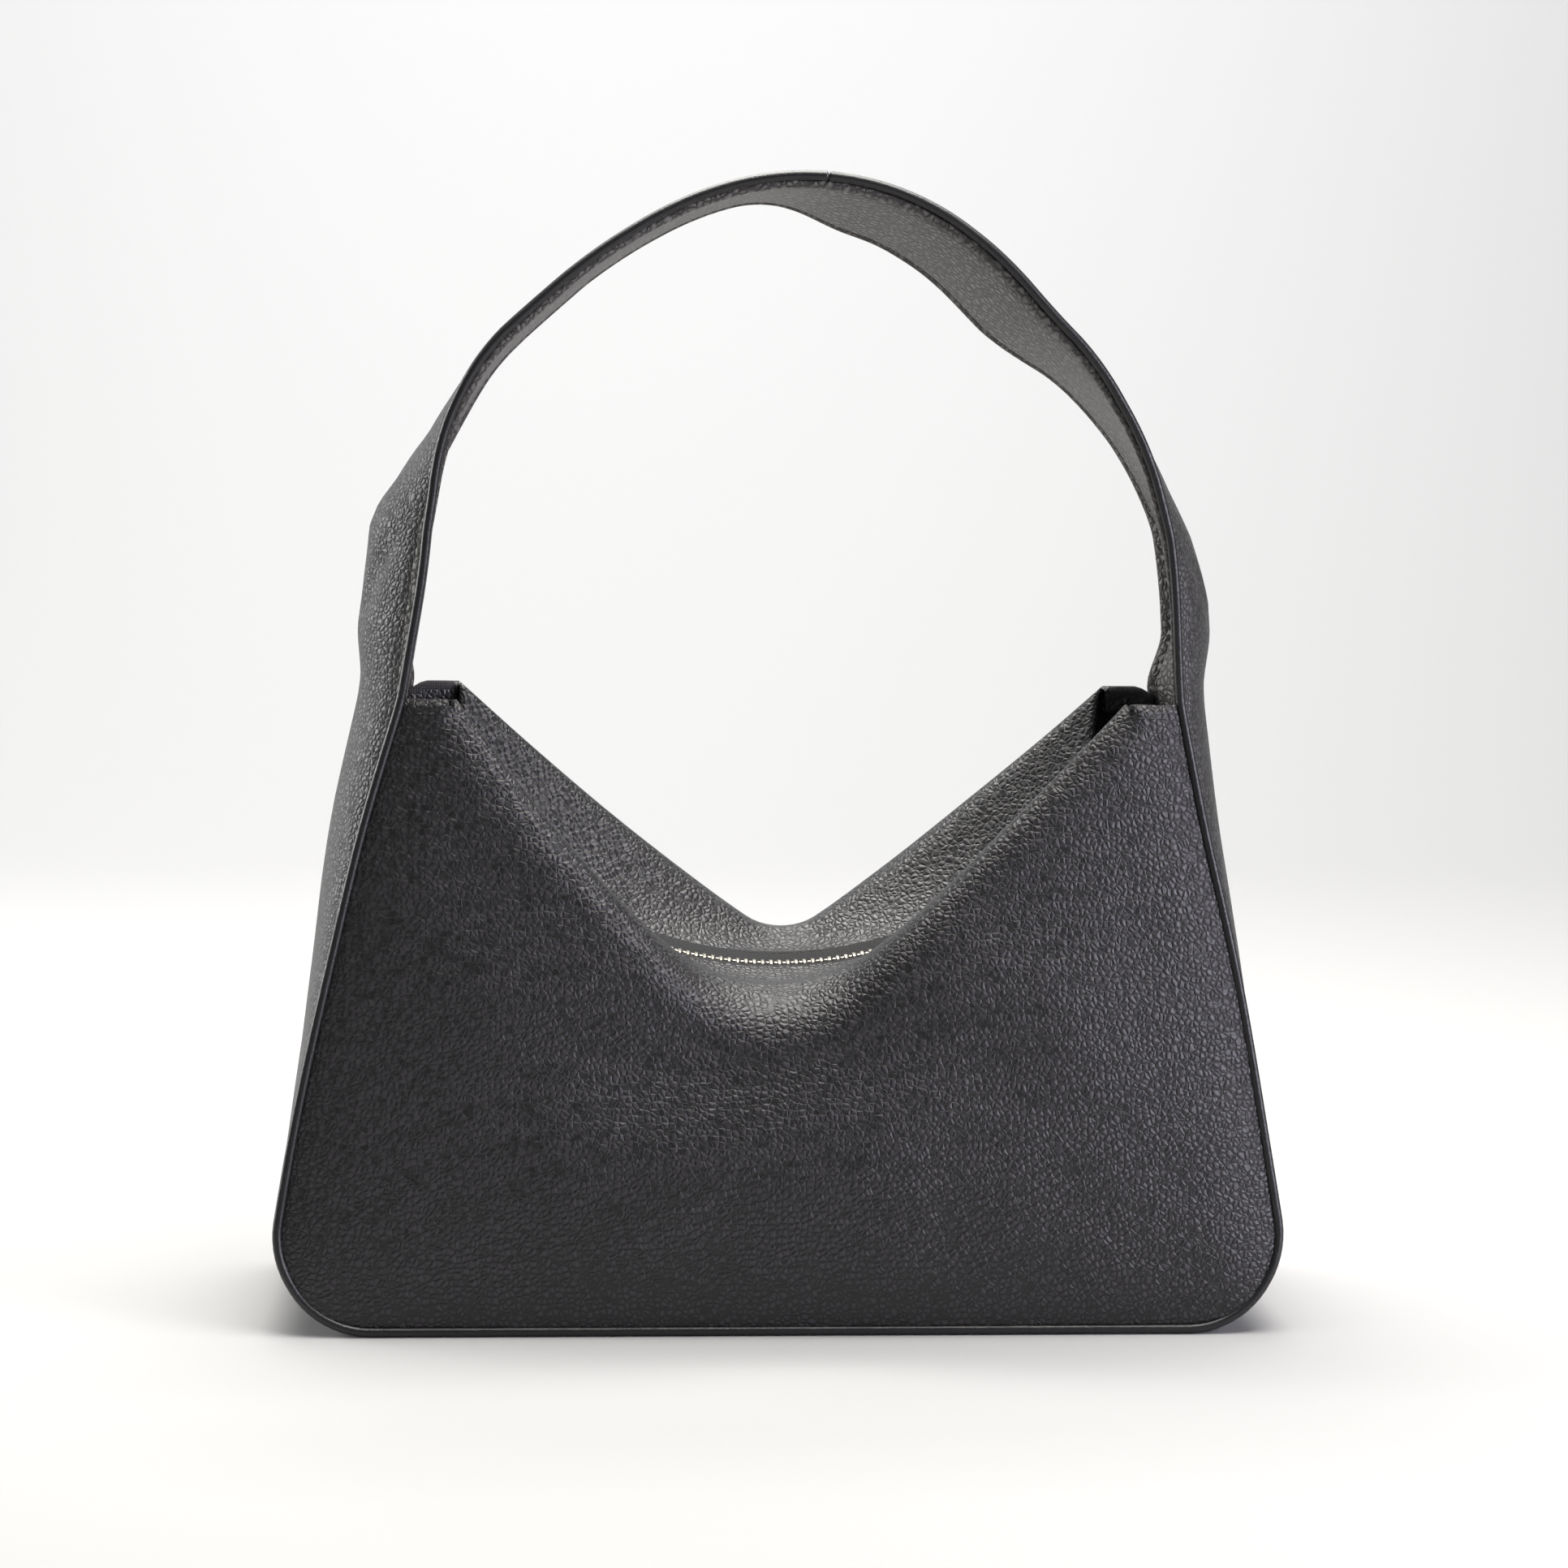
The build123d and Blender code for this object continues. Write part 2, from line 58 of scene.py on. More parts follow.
# sizes of the bag, in metres: the heights and depths come from the CAD nodes
pipeRadius = (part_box("strap_piping_front")[1].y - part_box("strap_piping_front")[0].y) / 2
bag = {
    "top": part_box("gusset_left")[1].z,
    "strapTop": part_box("strap_piping_front")[1].z - pipeRadius,
    "halfDepthTop": -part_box("strap_piping_front")[0].y - pipeRadius,
    "halfDepthBase": -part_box("piping_front")[0].y - pipeRadius,
    "halfWidthTop": 117 * mm,
    "halfWidthBase": 154.5 * mm,      # where the side and base lines would meet
    "corner": 27 * mm,
    "hem": 16 * mm,
    "strapLeg": 65 * mm,
    "strapSlope": 24.6 * mm,
    "footAngle": 83.5,
    "slopeAngle": 45.0,
    "rootBend": 150 * mm,             # radius of the soft turn from the body into the strap
    "flex": 51 * mm,                  # the stretch at each foot that bends when the strap is laid over
}


# the pivot of the joint that moves a body
def pivotOf(body):
    return Vector(next(joint for joint in frame["joints"] if joint["child"] == body)["pos_m"])


zipArc = {"centre": pivotOf("slider").z, "radius": 127.391 * mm, "halfAngle": 50.29, "slot": 5.5 * mm}
leatherThick = 1.4 * mm

rise = bag["top"] - pipeRadius
lean = bag["halfDepthBase"] - bag["halfDepthTop"]
slant = math.hypot(rise, lean)


def smooth(low, high, value):
    t = min(1.0, max(0.0, (value - low) / (high - low)))
    return t * t * (3 - 2 * t)


def hump(centre, width, value):
    return math.exp(-((value - centre) / width) ** 2)


# the loop that the piping follows, walked from the middle of the base to the right, up the
# side, over the strap and down again; every run is (length, turn in degrees)
def loopRuns():
    sideAngle = math.degrees(math.atan2(bag["halfWidthBase"] - bag["halfWidthTop"], slant))
    cornerTurn = 90 + sideAngle
    cut = bag["corner"] * math.tan(math.radians(cornerTurn / 2))
    rootTurn = 90 - bag["footAngle"] - sideAngle
    rootCut = bag["rootBend"] * math.tan(math.radians(abs(rootTurn) / 2))
    side = math.hypot(bag["halfWidthBase"] - bag["halfWidthTop"], slant)
    foot, slope = math.radians(bag["footAngle"]), math.radians(bag["slopeAngle"])
    strapRise = bag["strapTop"] - bag["top"]
    across = bag["halfWidthTop"] - bag["strapLeg"] * math.cos(foot) - bag["strapSlope"] * math.cos(slope)
    up = strapRise - bag["strapLeg"] * math.sin(foot) - bag["strapSlope"] * math.sin(slope)
    a, b = math.sin(foot) - math.sin(slope), math.cos(slope) - math.cos(foot)
    scale = a * (1 - math.cos(slope)) - math.sin(slope) * b
    shoulder = (across * (1 - math.cos(slope)) - up * math.sin(slope)) / scale
    crown = (up * a - across * b) / scale
    half = [
        (bag["halfWidthBase"] - cut, 0.0),
        (math.radians(cornerTurn) * bag["corner"], cornerTurn),
        (side - cut - rootCut, 0.0),
        (math.radians(abs(rootTurn)) * bag["rootBend"], rootTurn),
        (bag["strapLeg"] - rootCut, 0.0),
        (math.radians(bag["footAngle"] - bag["slopeAngle"]) * shoulder, bag["footAngle"] - bag["slopeAngle"]),
        (bag["strapSlope"], 0.0),
        (math.radians(bag["slopeAngle"]) * crown, bag["slopeAngle"]),
    ]
    return half + [(length, turn) for length, turn in reversed(half)]


runs = loopRuns()
loopLength = sum(length for length, _ in runs)
cornerMiddle = runs[0][0] + runs[1][0] / 2
bodyEnd = runs[0][0] + runs[1][0] + runs[2][0] + runs[3][0] / 2
crownMiddle = loopLength / 2


# x, height along the slope and heading at a distance round the loop
def loopAt(distance):
    d = distance % loopLength
    x, v, heading = 0.0, 0.0, 0.0
    for length, turn in runs:
        step = min(d, length)
        angle = math.radians(turn) * step / length
        if turn:
            radius = length / math.radians(turn)
            x += radius * (math.sin(heading + angle) - math.sin(heading))
            v += radius * (math.cos(heading) - math.cos(heading + angle))
        else:
            x += step * math.cos(heading)
            v += step * math.sin(heading)
        heading += angle
        d -= step
        if d <= 0:
            break
    return x, v, heading


# from height along the panel's slope to height above the floor, and to half the depth there
def heightOf(v):
    return pipeRadius + v * rise / slant if v < slant else bag["top"] + v - slant


def halfDepthOf(v):
    return bag["halfDepthBase"] - lean * min(1.0, max(0.0, v / slant))


# the bag isn't quite even: its sides belly out a little, its top leans to the right and the
# strap narrows towards the crown: (height, share of the width)
narrowTable = [
    (0.0, 1.0), (0.237, 1.0), (0.256, 0.984), (0.277, 0.968), (0.296, 0.964), (0.312, 0.948), (0.327, 0.915),
    (0.345, 0.90),
]
bellyShape = {"share": 0.019, "from": 0.015, "height": 0.172}


def fromTable(table, value):
    if value <= table[0][0]:
        return table[0][1]
    for low, high in zip(table, table[1:]):
        if value <= high[0]:
            return low[1] + (high[1] - low[1]) * (value - low[0]) / (high[0] - low[0])
    return table[-1][1]


def settle(x, y, z, weight=1.0):
    climb = min(1.0, max(0.0, (z - bellyShape["from"]) / bellyShape["height"]))
    belly = bellyShape["share"] * math.sin(math.pi * climb)
    shift = 1.0 * mm * smooth(0.05, 0.12, z) + 1.4 * mm * smooth(0.14, 0.19, z)
    shift += 2.4 * mm * hump(0.230, 0.035, z) - 1.4 * mm * hump(0.290, 0.035, z)
    shift += 3.6 * mm * smooth(0.295, 0.345, z)
    return Vector((x * (fromTable(narrowTable, z) + belly * weight) + shift * weight, y, z))


# how far the middle of the band stands out on each side: (height, millimetres)
bowLeft = [
    (0.020, 0), (0.038, 0.6), (0.057, 1.6), (0.082, 3.2), (0.106, 5.6), (0.130, 8.2), (0.154, 10.4),
    (0.187, 12.8), (0.205, 13.8), (0.222, 14.4), (0.236, 14.4), (0.243, 13.0), (0.250, 9.6), (0.264, 4.0),
    (0.282, 1.0), (0.300, 0),
]
bowRight = [
    (0.020, 0), (0.038, 0.2), (0.057, 0.8), (0.082, 2.4), (0.106, 4.4), (0.130, 6.2), (0.154, 7.8),
    (0.187, 10.0), (0.205, 10.6), (0.216, 10.4), (0.224, 9.0), (0.237, 6.4), (0.250, 4.0), (0.264, 2.2),
    (0.282, 0.6), (0.300, 0),
]


def bandBow(z, right):
    return mm * fromTable(bowRight if right else bowLeft, z)


twistShape = {
    "crown": 10.8 * mm,      # right of the crown the back edge hangs low
    "start": 2.0 * mm,       # a little more where that begins
    "left": 1.4 * mm,
    "waver": 0.6 * mm,
    "feet": 5.2 * mm,        # at the feet it turns the other way
}


# how far the strap's back edge hangs lower than its front edge
def backTurn(distance):
    d = crownMiddle - distance % loopLength
    foot = crownMiddle - bodyEnd - abs(d)
    return (
        twistShape["crown"] * smooth(-0.024, 0.048, d) * (1 - smooth(0.082, 0.142, d))
        + twistShape["start"] * hump(0.012, 0.016, d)
        + twistShape["left"] * hump(-0.085, 0.055, d)
        + twistShape["waver"] * math.sin(d * 95 + 0.8) * smooth(0.0, 0.03, d) * (1 - smooth(0.10, 0.14, d))
        - twistShape["feet"] * smooth(0.002, 0.020, foot) * (1 - smooth(0.050, 0.090, foot))
    )


# a point on the band: across goes from -1 at the front to 1 at the back, off is outwards
def bandPoint(distance, across, off, inset=0.0):
    x, v, heading = loopAt(distance)
    bow = bandBow(heightOf(v), x > 0) * max(0.0, 1 - across * across) ** 0.8
    front = smooth(0.0, -0.45, across) if x < 0 else 0.6 * smooth(0.0, -0.45, across)
    crease = 2.2 * mm * hump(0.204 - 0.040 * across, 0.006, heightOf(v)) * (1 - across * across) * front
    out = off + bow - crease - backTurn(distance) * (across + 1) / 2
    y = across * (halfDepthOf(v) - inset)
    v -= math.cos(heading) * out
    x += math.sin(heading) * out
    return settle(x, y, heightOf(v))


def newObject(name, bm):
    mesh = bpy.data.meshes.new(name)
    bm.to_mesh(mesh)
    bm.free()
    obj = bpy.data.objects.new(name, mesh)
    scene.collection.objects.link(obj)
    for polygon in mesh.polygons:
        polygon.use_smooth = True
    return obj


def applyModifiers(obj):
    bpy.context.view_layer.update()
    evaluated = obj.evaluated_get(bpy.context.evaluated_depsgraph_get())
    mesh = bpy.data.meshes.new_from_object(evaluated)
    obj.modifiers.clear()
    obj.data = mesh
    for polygon in mesh.polygons:
        polygon.use_smooth = True
    return obj


def thicken(obj, thickness, offset=-1.0, bevelWidth=0.0, even=True):
    solid = obj.modifiers.new("wall", "SOLIDIFY")
    solid.thickness = thickness
    solid.offset = offset
    solid.use_even_offset = even
    if bevelWidth:
        bevel = obj.modifiers.new("edge", "BEVEL")
        bevel.width = bevelWidth
        bevel.segments = 2
        bevel.limit_method = "ANGLE"
        bevel.angle_limit = math.radians(50)
    return applyModifiers(obj)


# a grid whose corners are at 0 and 1, moved to where place(s, t) says
def gridSurface(bm, columns, rows, place):
    made = bmesh.ops.create_grid(bm, x_segments=columns, y_segments=rows, size=0.5)
    for vert in made["verts"]:
        vert.co = place(vert.co.x + 0.5, vert.co.y + 0.5)
    return made["verts"]


print("stage: shapes ready")

# materials


def nodeTree(name, settings):
    material = bpy.data.materials.new(name)
    material.use_nodes = True
    tree = material.node_tree
    shader = tree.nodes["Principled BSDF"]
    shader.inputs["Roughness"].default_value = settings.get("roughness", 0.5)
    shader.inputs["Metallic"].default_value = settings.get("metallic", 0.0)
    shader.inputs["Specular IOR Level"].default_value = settings.get("specular", 0.5)
    coords = tree.nodes.new("ShaderNodeTexCoord")
    return material, tree, shader, coords.outputs["Object"]


def mathNode(tree, operation, first, second=None, clamp=False):
    node = tree.nodes.new("ShaderNodeMath")
    node.operation = operation
    node.use_clamp = clamp
    for socket, value in zip(node.inputs, (first, second)):
        if value is None:
            continue
        if isinstance(value, (int, float)):
            socket.default_value = value
        else:
            tree.links.new(value, socket)
    return node.outputs[0]


def ramp(tree, value, stops):
    node = tree.nodes.new("ShaderNodeValToRGB")
    node.color_ramp.elements[0].position = stops[0][0]
    node.color_ramp.elements[0].color = (*stops[0][1], 1)
    node.color_ramp.elements[1].position = stops[-1][0]
    node.color_ramp.elements[1].color = (*stops[-1][1], 1)
    for position, colour in stops[1:-1]:
        node.color_ramp.elements.new(position).color = (*colour, 1)
    tree.links.new(value, node.inputs[0])
    return node.outputs[0]


def noiseTexture(tree, vector, scale, detail=3.0, roughness=0.5):
    node = tree.nodes.new("ShaderNodeTexNoise")
    node.inputs["Scale"].default_value = scale
    node.inputs["Detail"].default_value = detail
    node.inputs["Roughness"].default_value = roughness
    tree.links.new(vector, node.inputs["Vector"])
    return node.outputs["Fac"]


# pebbled leather: rounded cells with painted shade in the creases between them and a fine roughness on top
def makeLeather(name, settings):
    material, tree, shader, coords = nodeTree(name, settings)
    wobble = tree.nodes.new("ShaderNodeTexNoise")
    wobble.inputs["Scale"].default_value = 260
    wobble.inputs["Detail"].default_value = 2
    tree.links.new(coords, wobble.inputs["Vector"])
    bend = tree.nodes.new("ShaderNodeVectorMath")
    bend.operation = "MULTIPLY_ADD"
    tree.links.new(wobble.outputs["Color"], bend.inputs[0])
    bend.inputs[1].default_value = (0.0016, 0.0016, 0.0016)
    tree.links.new(coords, bend.inputs[2])
    cells = tree.nodes.new("ShaderNodeTexVoronoi")
    cells.feature = "DISTANCE_TO_EDGE"
    cells.inputs["Scale"].default_value = 1 / settings["cell"]
    cells.inputs["Randomness"].default_value = 0.85
    tree.links.new(bend.outputs[0], cells.inputs["Vector"])
    rounded = mathNode(tree, "MULTIPLY", cells.outputs["Distance"], 2.4, True)
    pebble = mathNode(tree, "POWER", rounded, 0.8)
    fine = noiseTexture(tree, coords, 2400, 2, 0.6)
    broad = noiseTexture(tree, coords, 34, 3, 0.55)
    height = mathNode(tree, "ADD", pebble, mathNode(tree, "MULTIPLY", fine, 0.12))
    bump = tree.nodes.new("ShaderNodeBump")
    bump.inputs["Strength"].default_value = settings["grain"]
    bump.inputs["Distance"].default_value = 0.00042
    tree.links.new(height, bump.inputs["Height"])
    tree.links.new(bump.outputs[0], shader.inputs["Normal"])
    speckle = noiseTexture(tree, coords, 520, 2, 0.6)
    # the colour below paints shade into the creases between the pebbles, mixed with a random speckle
    creaseShadeMask = mathNode(tree, "MULTIPLY", pebble, 0.75)
    tone = mathNode(tree, "ADD", creaseShadeMask, mathNode(tree, "MULTIPLY", speckle, 0.25))
    colour = ramp(tree, tone, [(0.26, settings["crease"]), (0.80, settings["colour"])])
    tree.links.new(colour, shader.inputs["Base Color"])
    rough = mathNode(tree, "ADD", mathNode(tree, "MULTIPLY", broad, 0.06), settings["roughness"] - 0.03)
    tree.links.new(rough, shader.inputs["Roughness"])
    return material


def makeWeave(name, settings):
    material, tree, shader, coords = nodeTree(name, settings)
    heights = []
    for axis in ("X", "Z"):
        wave = tree.nodes.new("ShaderNodeTexWave")
        wave.bands_direction = axis
        wave.inputs["Scale"].default_value = settings["threads"]
        wave.inputs["Distortion"].default_value = 0.6
        wave.inputs["Detail Scale"].default_value = 3.0
        tree.links.new(coords, wave.inputs["Vector"])
        heights.append(wave.outputs["Fac"])
    weave = mathNode(tree, "MAXIMUM", *heights)
    bump = tree.nodes.new("ShaderNodeBump")
    bump.inputs["Strength"].default_value = 0.5
    bump.inputs["Distance"].default_value = 0.0002
    tree.links.new(weave, bump.inputs["Height"])
    tree.links.new(bump.outputs[0], shader.inputs["Normal"])
    tone = mathNode(tree, "ADD", mathNode(tree, "MULTIPLY", weave, 0.6),
                    mathNode(tree, "MULTIPLY", noiseTexture(tree, coords, 120), 0.4))
    colour = ramp(tree, tone, [(0.2, settings["dark"]), (0.9, settings["colour"])])
    tree.links.new(colour, shader.inputs["Base Color"])
    return material


def makeMetal(name, settings):
    material, tree, shader, coords = nodeTree(name, settings)
    worn = noiseTexture(tree, coords, 900, 4, 0.6)
    colour = ramp(tree, worn, [(0.35, settings["dark"]), (0.65, settings["colour"])])
    tree.links.new(colour, shader.inputs["Base Color"])
    rough = mathNode(tree, "ADD", mathNode(tree, "MULTIPLY", worn, 0.18), settings["roughness"] - 0.09)
    tree.links.new(rough, shader.inputs["Roughness"])
    bump = tree.nodes.new("ShaderNodeBump")
    bump.inputs["Strength"].default_value = 0.12
    bump.inputs["Distance"].default_value = 0.0001
    tree.links.new(worn, bump.inputs["Height"])
    tree.links.new(bump.outputs[0], shader.inputs["Normal"])
    return material


finishes = {
    # in every leather, crease is a painted shade colour for the creases between the pebbles
    "panelLeather": makeLeather("panelLeather", {
        "colour": (0.0215, 0.0195, 0.0235), "crease": (0.0035, 0.0032, 0.0038), "roughness": 0.41,
        "cell": 1.85 * mm, "grain": 0.58}),
    "bandLeather": makeLeather("bandLeather", {
        "colour": (0.050, 0.048, 0.049), "crease": (0.011, 0.0106, 0.011), "roughness": 0.43,
        "cell": 1.7 * mm, "grain": 0.60}),
    # the strap's inner leather is painted lighter than the other leathers: painted light for the floor's
    # bounce onto its downward face
    "strapLeatherPaintedBounce": makeLeather("strapLeatherPaintedBounce", {
        "colour": (0.135, 0.128, 0.120), "crease": (0.032, 0.030, 0.029), "roughness": 0.50,
        "cell": 2.3 * mm, "grain": 0.90}),
    "pipingLeather": makeLeather("pipingLeather", {
        "colour": (0.010, 0.010, 0.012), "crease": (0.006, 0.006, 0.007), "roughness": 0.36,
        "cell": 1.0 * mm, "grain": 0.12}),
    "lining": makeWeave("lining", {
        "colour": (0.045, 0.042, 0.045), "dark": (0.016, 0.015, 0.016), "roughness": 0.85, "threads": 420}),
    "tape": makeWeave("tape", {
        "colour": (0.018, 0.018, 0.020), "dark": (0.006, 0.006, 0.007), "roughness": 0.8, "threads": 500}),
    "thread": makeWeave("thread", {
        "colour": (0.030, 0.030, 0.031), "dark": (0.010, 0.010, 0.011), "roughness": 0.6, "threads": 900}),
    "board": makeWeave("board", {
        "colour": (0.20, 0.19, 0.18), "dark": (0.13, 0.12, 0.11), "roughness": 0.8, "threads": 150}),
    "teethMetal": makeMetal("teethMetal", {
        "colour": (0.74, 0.71, 0.62), "dark": (0.50, 0.47, 0.40), "roughness": 0.30, "metallic": 1.0}),
    "sliderMetal": makeMetal("sliderMetal", {
        "colour": (0.78, 0.75, 0.69), "dark": (0.60, 0.57, 0.51), "roughness": 0.24, "metallic": 1.0}),
}


def dress(obj, finish, body="bag", replaced=()):
    obj.data.materials.clear()
    obj.data.materials.append(finishes[finish])
    if body == "both":
        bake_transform(obj)
    else:
        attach(obj, body)
    if replaced:
        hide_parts(*replaced)
    return obj


print("stage: materials ready")

# panels: each is one skin from the base seam up, over the soft fold and down to the zip
panelShape = {
    "columns": 112, "hemColumns": 8, "rows": 64, "rollRows": 10, "facingRows": 22, "hemRows": 6,
    "low": {-1: 94.5 * mm, 1: 110.5 * mm},        # bottom of the V, front and back
    "vRadius": {-1: 36 * mm, 1: 17 * mm},
    "endLift": {-1: -0.8 * mm, 1: 2.4 * mm},  # the hems' corners, against the top of the seams
    "vShift": {-1: -4.0 * mm, 1: 2.5 * mm},
    "puff": 4.2 * mm,                         # how fast the leather stands up beside the piping
    "puffReach": 11 * mm,
    "crown": 5.0 * mm,
    "rollOut": (13 * mm, 14 * mm),            # the roll's length outside, at the ends and in the middle
    "rollIn": (7 * mm, 17 * mm),
    "hemDepth": 9 * mm,
    "facingSag": 1.6 * mm,
    "edgeLift": {-1: 0.7 * mm, 1: 2.9 * mm},  # how far the cut edge stands above the zip's tape
    "hemTurn": 3.2 * mm,
    "ripple": 0.9 * mm,
}
# swells and hollows of the front: how far out, x and width, height and width
frontSwells = [
    (-3.2 * mm, -0.030, 0.050, 0.078, 0.018),     # under the fold, left of the V
    (-1.6 * mm, 0.045, 0.035, 0.082, 0.014),
    (1.8 * mm, 0.070, 0.055, 0.075, 0.045),
]
mouthHalf = bag["halfWidthTop"] - bag["hem"]
mouthShare = mouthHalf / bag["halfWidthTop"]


# height of the mouth's V above the floor at x
def mouthHeight(side, x):
    low, radius = panelShape["low"][side], panelShape["vRadius"][side]
    x -= panelShape["vShift"][side] * (1 - (x / mouthHalf) ** 2)
    drop = bag["top"] - low
    slope = 1.0
    for _ in range(12):
        angle = math.atan(slope)
        slope = (drop - radius * (1 - math.cos(angle))) / (mouthHalf - radius * math.sin(angle))
    angle = math.atan(slope)
    turn = radius * math.sin(angle)
    if abs(x) < turn:
        return low + radius - math.sqrt(radius * radius - x * x)
    return low + radius * (1 - math.cos(angle)) + slope * (abs(x) - turn)


def slopeHeight(z):
    return (z - pipeRadius) * slant / rise


# the flat shape of a panel, as x and height along its slope, filled in between its four edges
def flatPanel(side, u, t):
    def topEdge(s):
        x = s * bag["halfWidthTop"]
        z = mouthHeight(side, x) if abs(s) < mouthShare else bag["top"]
        return Vector((x, slopeHeight(z)))

    def edge(distance):
        x, v, _ = loopAt(distance)
        return Vector((x, v))

    a = (u + 1) / 2
    sideRun = bodyEnd - cornerMiddle
    bottom, top = edge(u * cornerMiddle), topEdge(u)
    left, right = edge(-cornerMiddle - t * sideRun), edge(cornerMiddle + t * sideRun)
    corners = (
        (1 - a) * (1 - t) * edge(-cornerMiddle) + a * (1 - t) * edge(cornerMiddle)
        + (1 - a) * t * topEdge(-1) + a * t * topEdge(1)
    )
    flat = (1 - t) * bottom + t * top + (1 - a) * left + a * right - corners
    flat.y += panelShape["endLift"][side] * smooth(0.75, 1.0, t) * u * u * (1 - smooth(0.95, 1.0, abs(u)))
    return flat


# how far the panel stands out from its seam plane
def panelSwell(side, u, t, x, v):
    fromSide = (1 - abs(u)) * bag["halfWidthTop"] * 1.15
    fromBase = t * max(0.03, v / max(t, 0.01)) if t > 0 else 0.0
    reach = panelShape["puffReach"]
    edge = (1 - math.exp(-fromSide / reach)) * (1 - math.exp(-fromBase / reach))
    crown = panelShape["crown"] * (1 - u * u) * math.sin(math.pi * min(1, t * 0.9 + 0.05))
    swell = panelShape["puff"] * edge + crown * edge
    if side < 0:
        for out, xAt, xWidth, vAt, vWidth in frontSwells:
            swell += out * hump(xAt, xWidth, x) * hump(vAt, vWidth, v)
    ripple = noise.noise(Vector((x * 16, v * 22 + side, 3.1)))
    ripple += 0.5 * noise.noise(Vector((x * 42, v * 55, 7.7 + side)))
    return swell + ripple * panelShape["ripple"] * edge


def onPanel(side, x, v, out):
    y = side * (halfDepthOf(v) + out * rise / slant)
    return Vector((x, y, heightOf(v) + out * lean / slant))


def zipPoint(side, s, lift=0.0):
    angle = math.radians(zipArc["halfAngle"]) * s
    radius = zipArc["radius"] - lift
    x, z = radius * math.sin(angle), zipArc["centre"] - radius * math.cos(angle)
    return Vector((x, side * zipArc["slot"], z))


# a point on the panel for t from 0 to 1, and on the fold-over from the fold to the zip for t to 2
def panelPoint(side, u, t):
    rolled = abs(u) <= mouthShare + 1e-6
    inward = max(0.0, 1 - (abs(u) / mouthShare) ** 2)
    ends, middle = panelShape["rollOut"]
    outLength = ends + (middle - ends) * inward
    ends, middle = panelShape["rollIn"]
    inLength = ends + (middle - ends) * inward
    flatTop = flatPanel(side, u, 1)
    length = (flatTop - flatPanel(side, u, 0)).length
    startShare = 1 - outLength / length

    def surface(share):
        flat = flatPanel(side, u, share)
        return onPanel(side, flat.x, flat.y, panelSwell(side, u, share, flat.x, flat.y))

    if not rolled:
        if t <= 1:
            return surface(t)
        down = panelShape["hemDepth"] * (t - 1)
        turned = min(1.0, (t - 1) * 4)
        lip = 1.0 * mm * math.sin(math.pi * turned)
        return surface(1) + Vector((0, -side * panelShape["hemTurn"] * turned, lip - down))
    if t < startShare:
        return surface(t)
    start = surface(startShare)
    top = onPanel(side, flatTop.x, flatTop.y, panelSwell(side, u, 1, flatTop.x, flatTop.y) * 0.5)
    end = zipPoint(side, u / mouthShare, panelShape["edgeLift"][side])
    climb, descend = (top - start).normalized(), (end - top).normalized()
    corner = top + (climb * outLength - descend * inLength) * 0.25
    finish = corner + descend * inLength
    if t <= 1:
        b = 0.5 * (t - startShare) / (1 - startShare)
    else:
        b = 0.5 + 0.5 * min(1.0, (t - 1) / 0.3)
    if t <= 1.3:
        return (1 - b) ** 2 * start + 2 * b * (1 - b) * corner + b * b * finish
    share = (t - 1.3) / 0.7
    point = finish.lerp(end, share)
    point.z -= panelShape["facingSag"] * math.sin(math.pi * share)
    return point


def settlePanel(point, t):
    return settle(*point, weight=1.0 if t <= 1 else 1 - smooth(1.0, 2.0, t))


# a point inside the leather by skin, square to it
def insidePanel(side, u, t, skin):
    point = settlePanel(panelPoint(side, u, t), t)
    if not skin:
        return point
    if abs(u) > mouthShare + 1e-6:
        return point - Vector((0, side * skin, 0))
    skin *= 1 - 0.75 * smooth(0.80, 0.98, abs(u) / mouthShare) * hump(1.1, 0.4, t)
    a, b, c, d = max(u - 0.006, -mouthShare), min(u + 0.006, mouthShare), max(t - 0.012, 0), min(t + 0.012, 2)
    across = settlePanel(panelPoint(side, b, t), t) - settlePanel(panelPoint(side, a, t), t)
    upwards = settlePanel(panelPoint(side, u, d), d) - settlePanel(panelPoint(side, u, c), c)
    return point + side * skin * across.cross(upwards).normalized()


def makePanel(name, side, skin=0.0):
    bm = bmesh.new()
    shape = panelShape
    columns, hemColumns = shape["columns"], shape["hemColumns"]

    def column(s):
        index = round(s * columns)
        if index <= hemColumns:
            return -1 + (1 - mouthShare) * index / hemColumns
        if index >= columns - hemColumns:
            return 1 - (1 - mouthShare) * (columns - index) / hemColumns
        return mouthShare * (2 * (index - hemColumns) / (columns - 2 * hemColumns) - 1)

    def row(s):
        index = round(s * shape["rows"])
        body = shape["rows"] - shape["rollRows"]
        return 0.86 * index / body if index <= body else 0.86 + 0.14 * (index - body) / shape["rollRows"]

    def bodyPlace(s, t):
        u = column(s)
        return insidePanel(side, u, row(t), skin)

    gridSurface(bm, columns, shape["rows"], bodyPlace)
    middle = columns - 2 * hemColumns

    def foldPlace(s, t):
        u = mouthShare * (2 * round(s * middle) / middle - 1)
        return insidePanel(side, u, 1 + t, skin)

    gridSurface(bm, middle, shape["facingRows"], foldPlace)
    if skin == 0:
        for hand in (-1, 1):
            def hemPlace(s, t, hand=hand):
                share = round(s * hemColumns) / hemColumns
                u = hand * (mouthShare + 2e-6 + (1 - mouthShare - 2e-6) * share)
                return settlePanel(panelPoint(side, u, 1 + t), 1)

            gridSurface(bm, hemColumns, shape["hemRows"], hemPlace)
    bmesh.ops.remove_doubles(bm, verts=bm.verts, dist=0.00005)
    bmesh.ops.recalc_face_normals(bm, faces=bm.faces)
    lowest = min(bm.faces, key=lambda face: abs(face.calc_center_median().z - 0.04))
    if lowest.normal.y * side < 0:
        bmesh.ops.reverse_faces(bm, faces=bm.faces)
    return newObject(name, bm)


